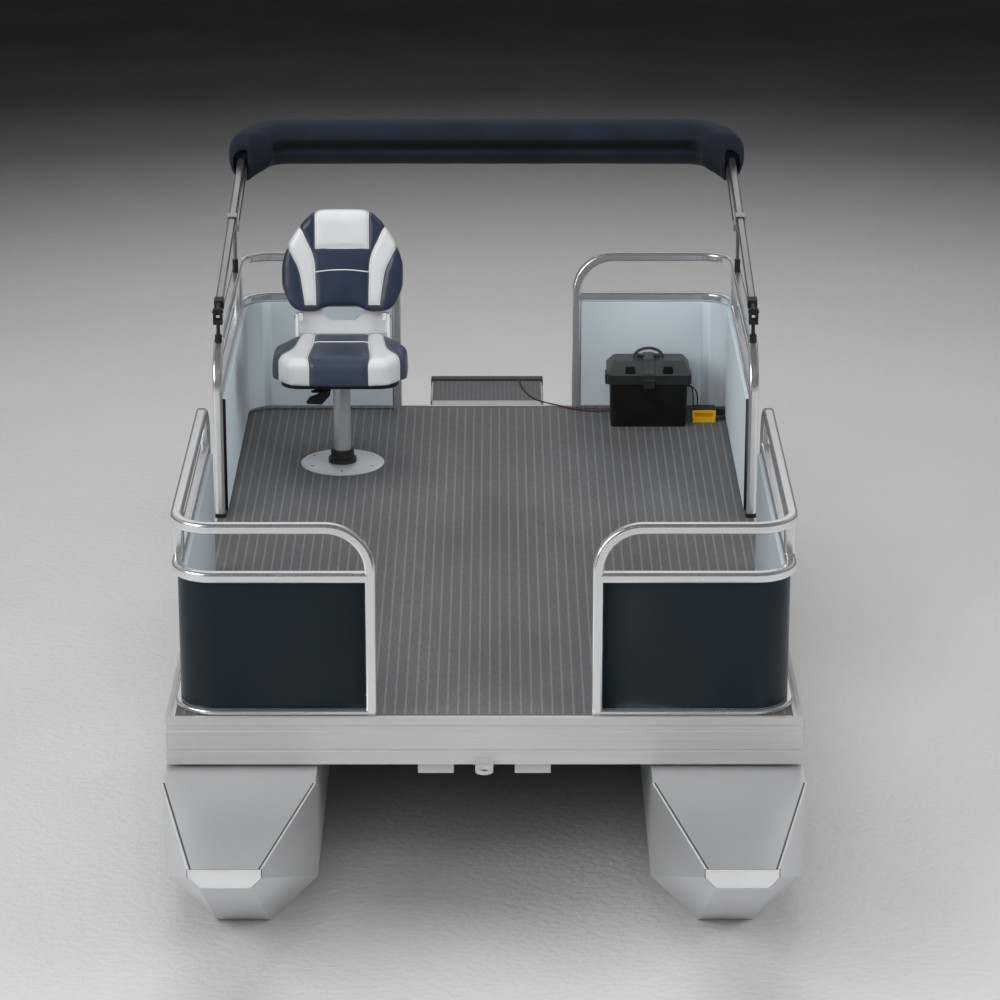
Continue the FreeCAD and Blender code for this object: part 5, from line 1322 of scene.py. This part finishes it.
route = boot_route()
form, ring_count, boot_length = boot_tube(route, 1.0, BOOT_AROUND, False)
boot = form_piece("canvas_boot", form, canvas, "folding_top", "canopy_boot", smooth=True)
cloth_wall = boot.modifiers.new("cloth_wall", "SOLIDIFY")
cloth_wall.thickness = CANVAS_THICK
cloth_wall.offset = -1
# Per-point painted shade: strongest in the fold and fading near the ends, and at most half as strong on the lower lobe
painted_fold_shades = []
for i in range(ring_count):
    from_end = min(i, ring_count - 1 - i) / FOLD_FADE
    for j in range(BOOT_AROUND):
        angle = 2 * math.pi * j / BOOT_AROUND
        angle -= 2 * math.pi * (angle > math.pi)
        shade = 1 - soft_step((abs(angle - FOLD_SHADE_PLACE) - FOLD_SHADE_HALF) / FOLD_SHADE_SOFT)
        under = UNDER_SHADE * soft_step((UNDER_PLACE - angle) / UNDER_SOFT)
        painted_fold_shades.append(max(shade * soft_step(from_end - FOLD_CLEAR), under))
boot.data.attributes.new("fold", "FLOAT", "POINT").data.foreach_set("value", painted_fold_shades)

# The rolled canvas itself, seen dark in the sleeve's mouth
form = boot_tube(route[ROLL_SETBACK:-ROLL_SETBACK], ROLL_SIZE, ROLL_AROUND, True)[0]
rolled = form_piece("rolled_canvas", form, canvas, "folding_top", smooth=True)


# Leads: a dark red twin lead from the pod to the battery, and two black leads down to the charger.
# All are soft flexible wire that lies on the deck or hangs between its ends.
DECK_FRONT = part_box("fascia")[0][1]
LEAD_REST = 2.8
BATTERY_LEAD = 0.005
CHARGER_LEAD = 0.0045
# Millimetres: to the right, from the deck's front edge, and up from the deck
LEAD_POINTS = [
    (119, 3288, 8), (120, 3262, 8), (123, 3236, 4), (129, 3198, 0), (139, 3152, 0), (153, 3104, 0),
    (172, 3056, 0), (196, 3018, 1), (226, 2990, 3), (260, 2966, 3), (291, 2943, 0.5), (322, 2924, 0),
    (356, 2911, 0), (390, 2902, 1), (420, 2896, 4), (443, 2894, 6),
]
CHARGER_LEADS = {
    "charger_lead_inner": [
        (713, 2824, 128), (723, 2825, 127.5), (731, 2829, 122), (736, 2836, 111), (739, 2845, 96), (741, 2853, 79),
        (742, 2858, 61), (742, 2858.5, 46), (742, 2853, 34), (742, 2838, 28),
    ],
    "charger_lead_outer": [
        (713, 2808, 128), (725, 2809, 127.5), (736, 2813, 122), (745, 2821, 112), (751, 2832, 98), (755, 2843, 83),
        (757, 2852, 67), (758, 2857.5, 51), (758, 2855, 37), (758, 2838, 30),
    ],
}


def lead_wire(node, points, diameter, material):
    """A soft lead on one smooth line through its route's points."""
    spots = [(x / 1000, DECK_FRONT + y / 1000, deck_top + z / 1000) for x, y, z in points]
    curve, spline = round_curve(node + "_wire", "NURBS", spots, diameter / 2, 4)
    curve.resolution_u = 12
    spline.order_u = 3
    spline.use_endpoint_u = True
    piece = placed(link_piece(node + "_wire", curve, material), "boat", node)


def rubber(name, colour):
    """Soft rubber, a little paler where it is dusty."""
    material, shader = new_finish(name, colour, 0.5)
    coloured(shader, cloudy(shader, 60, detail=4), colour, tuple(c * 1.6 + 0.002 for c in colour))
    relief(shader, cloudy(shader, 900), 0.0002, 0.4)
    return material


lead_wire("battery_lead", [(x, y, z + LEAD_REST) for x, y, z in LEAD_POINTS], BATTERY_LEAD,
          rubber("red_lead", tint(66, 20, 26)))
black_lead = rubber("black_lead", tint(20, 20, 21))
for node, points in CHARGER_LEADS.items():
    lead_wire(node, points, CHARGER_LEAD, black_lead)

bpy.context.scene.view_settings.view_transform = "Standard"
bpy.context.view_layer.update()
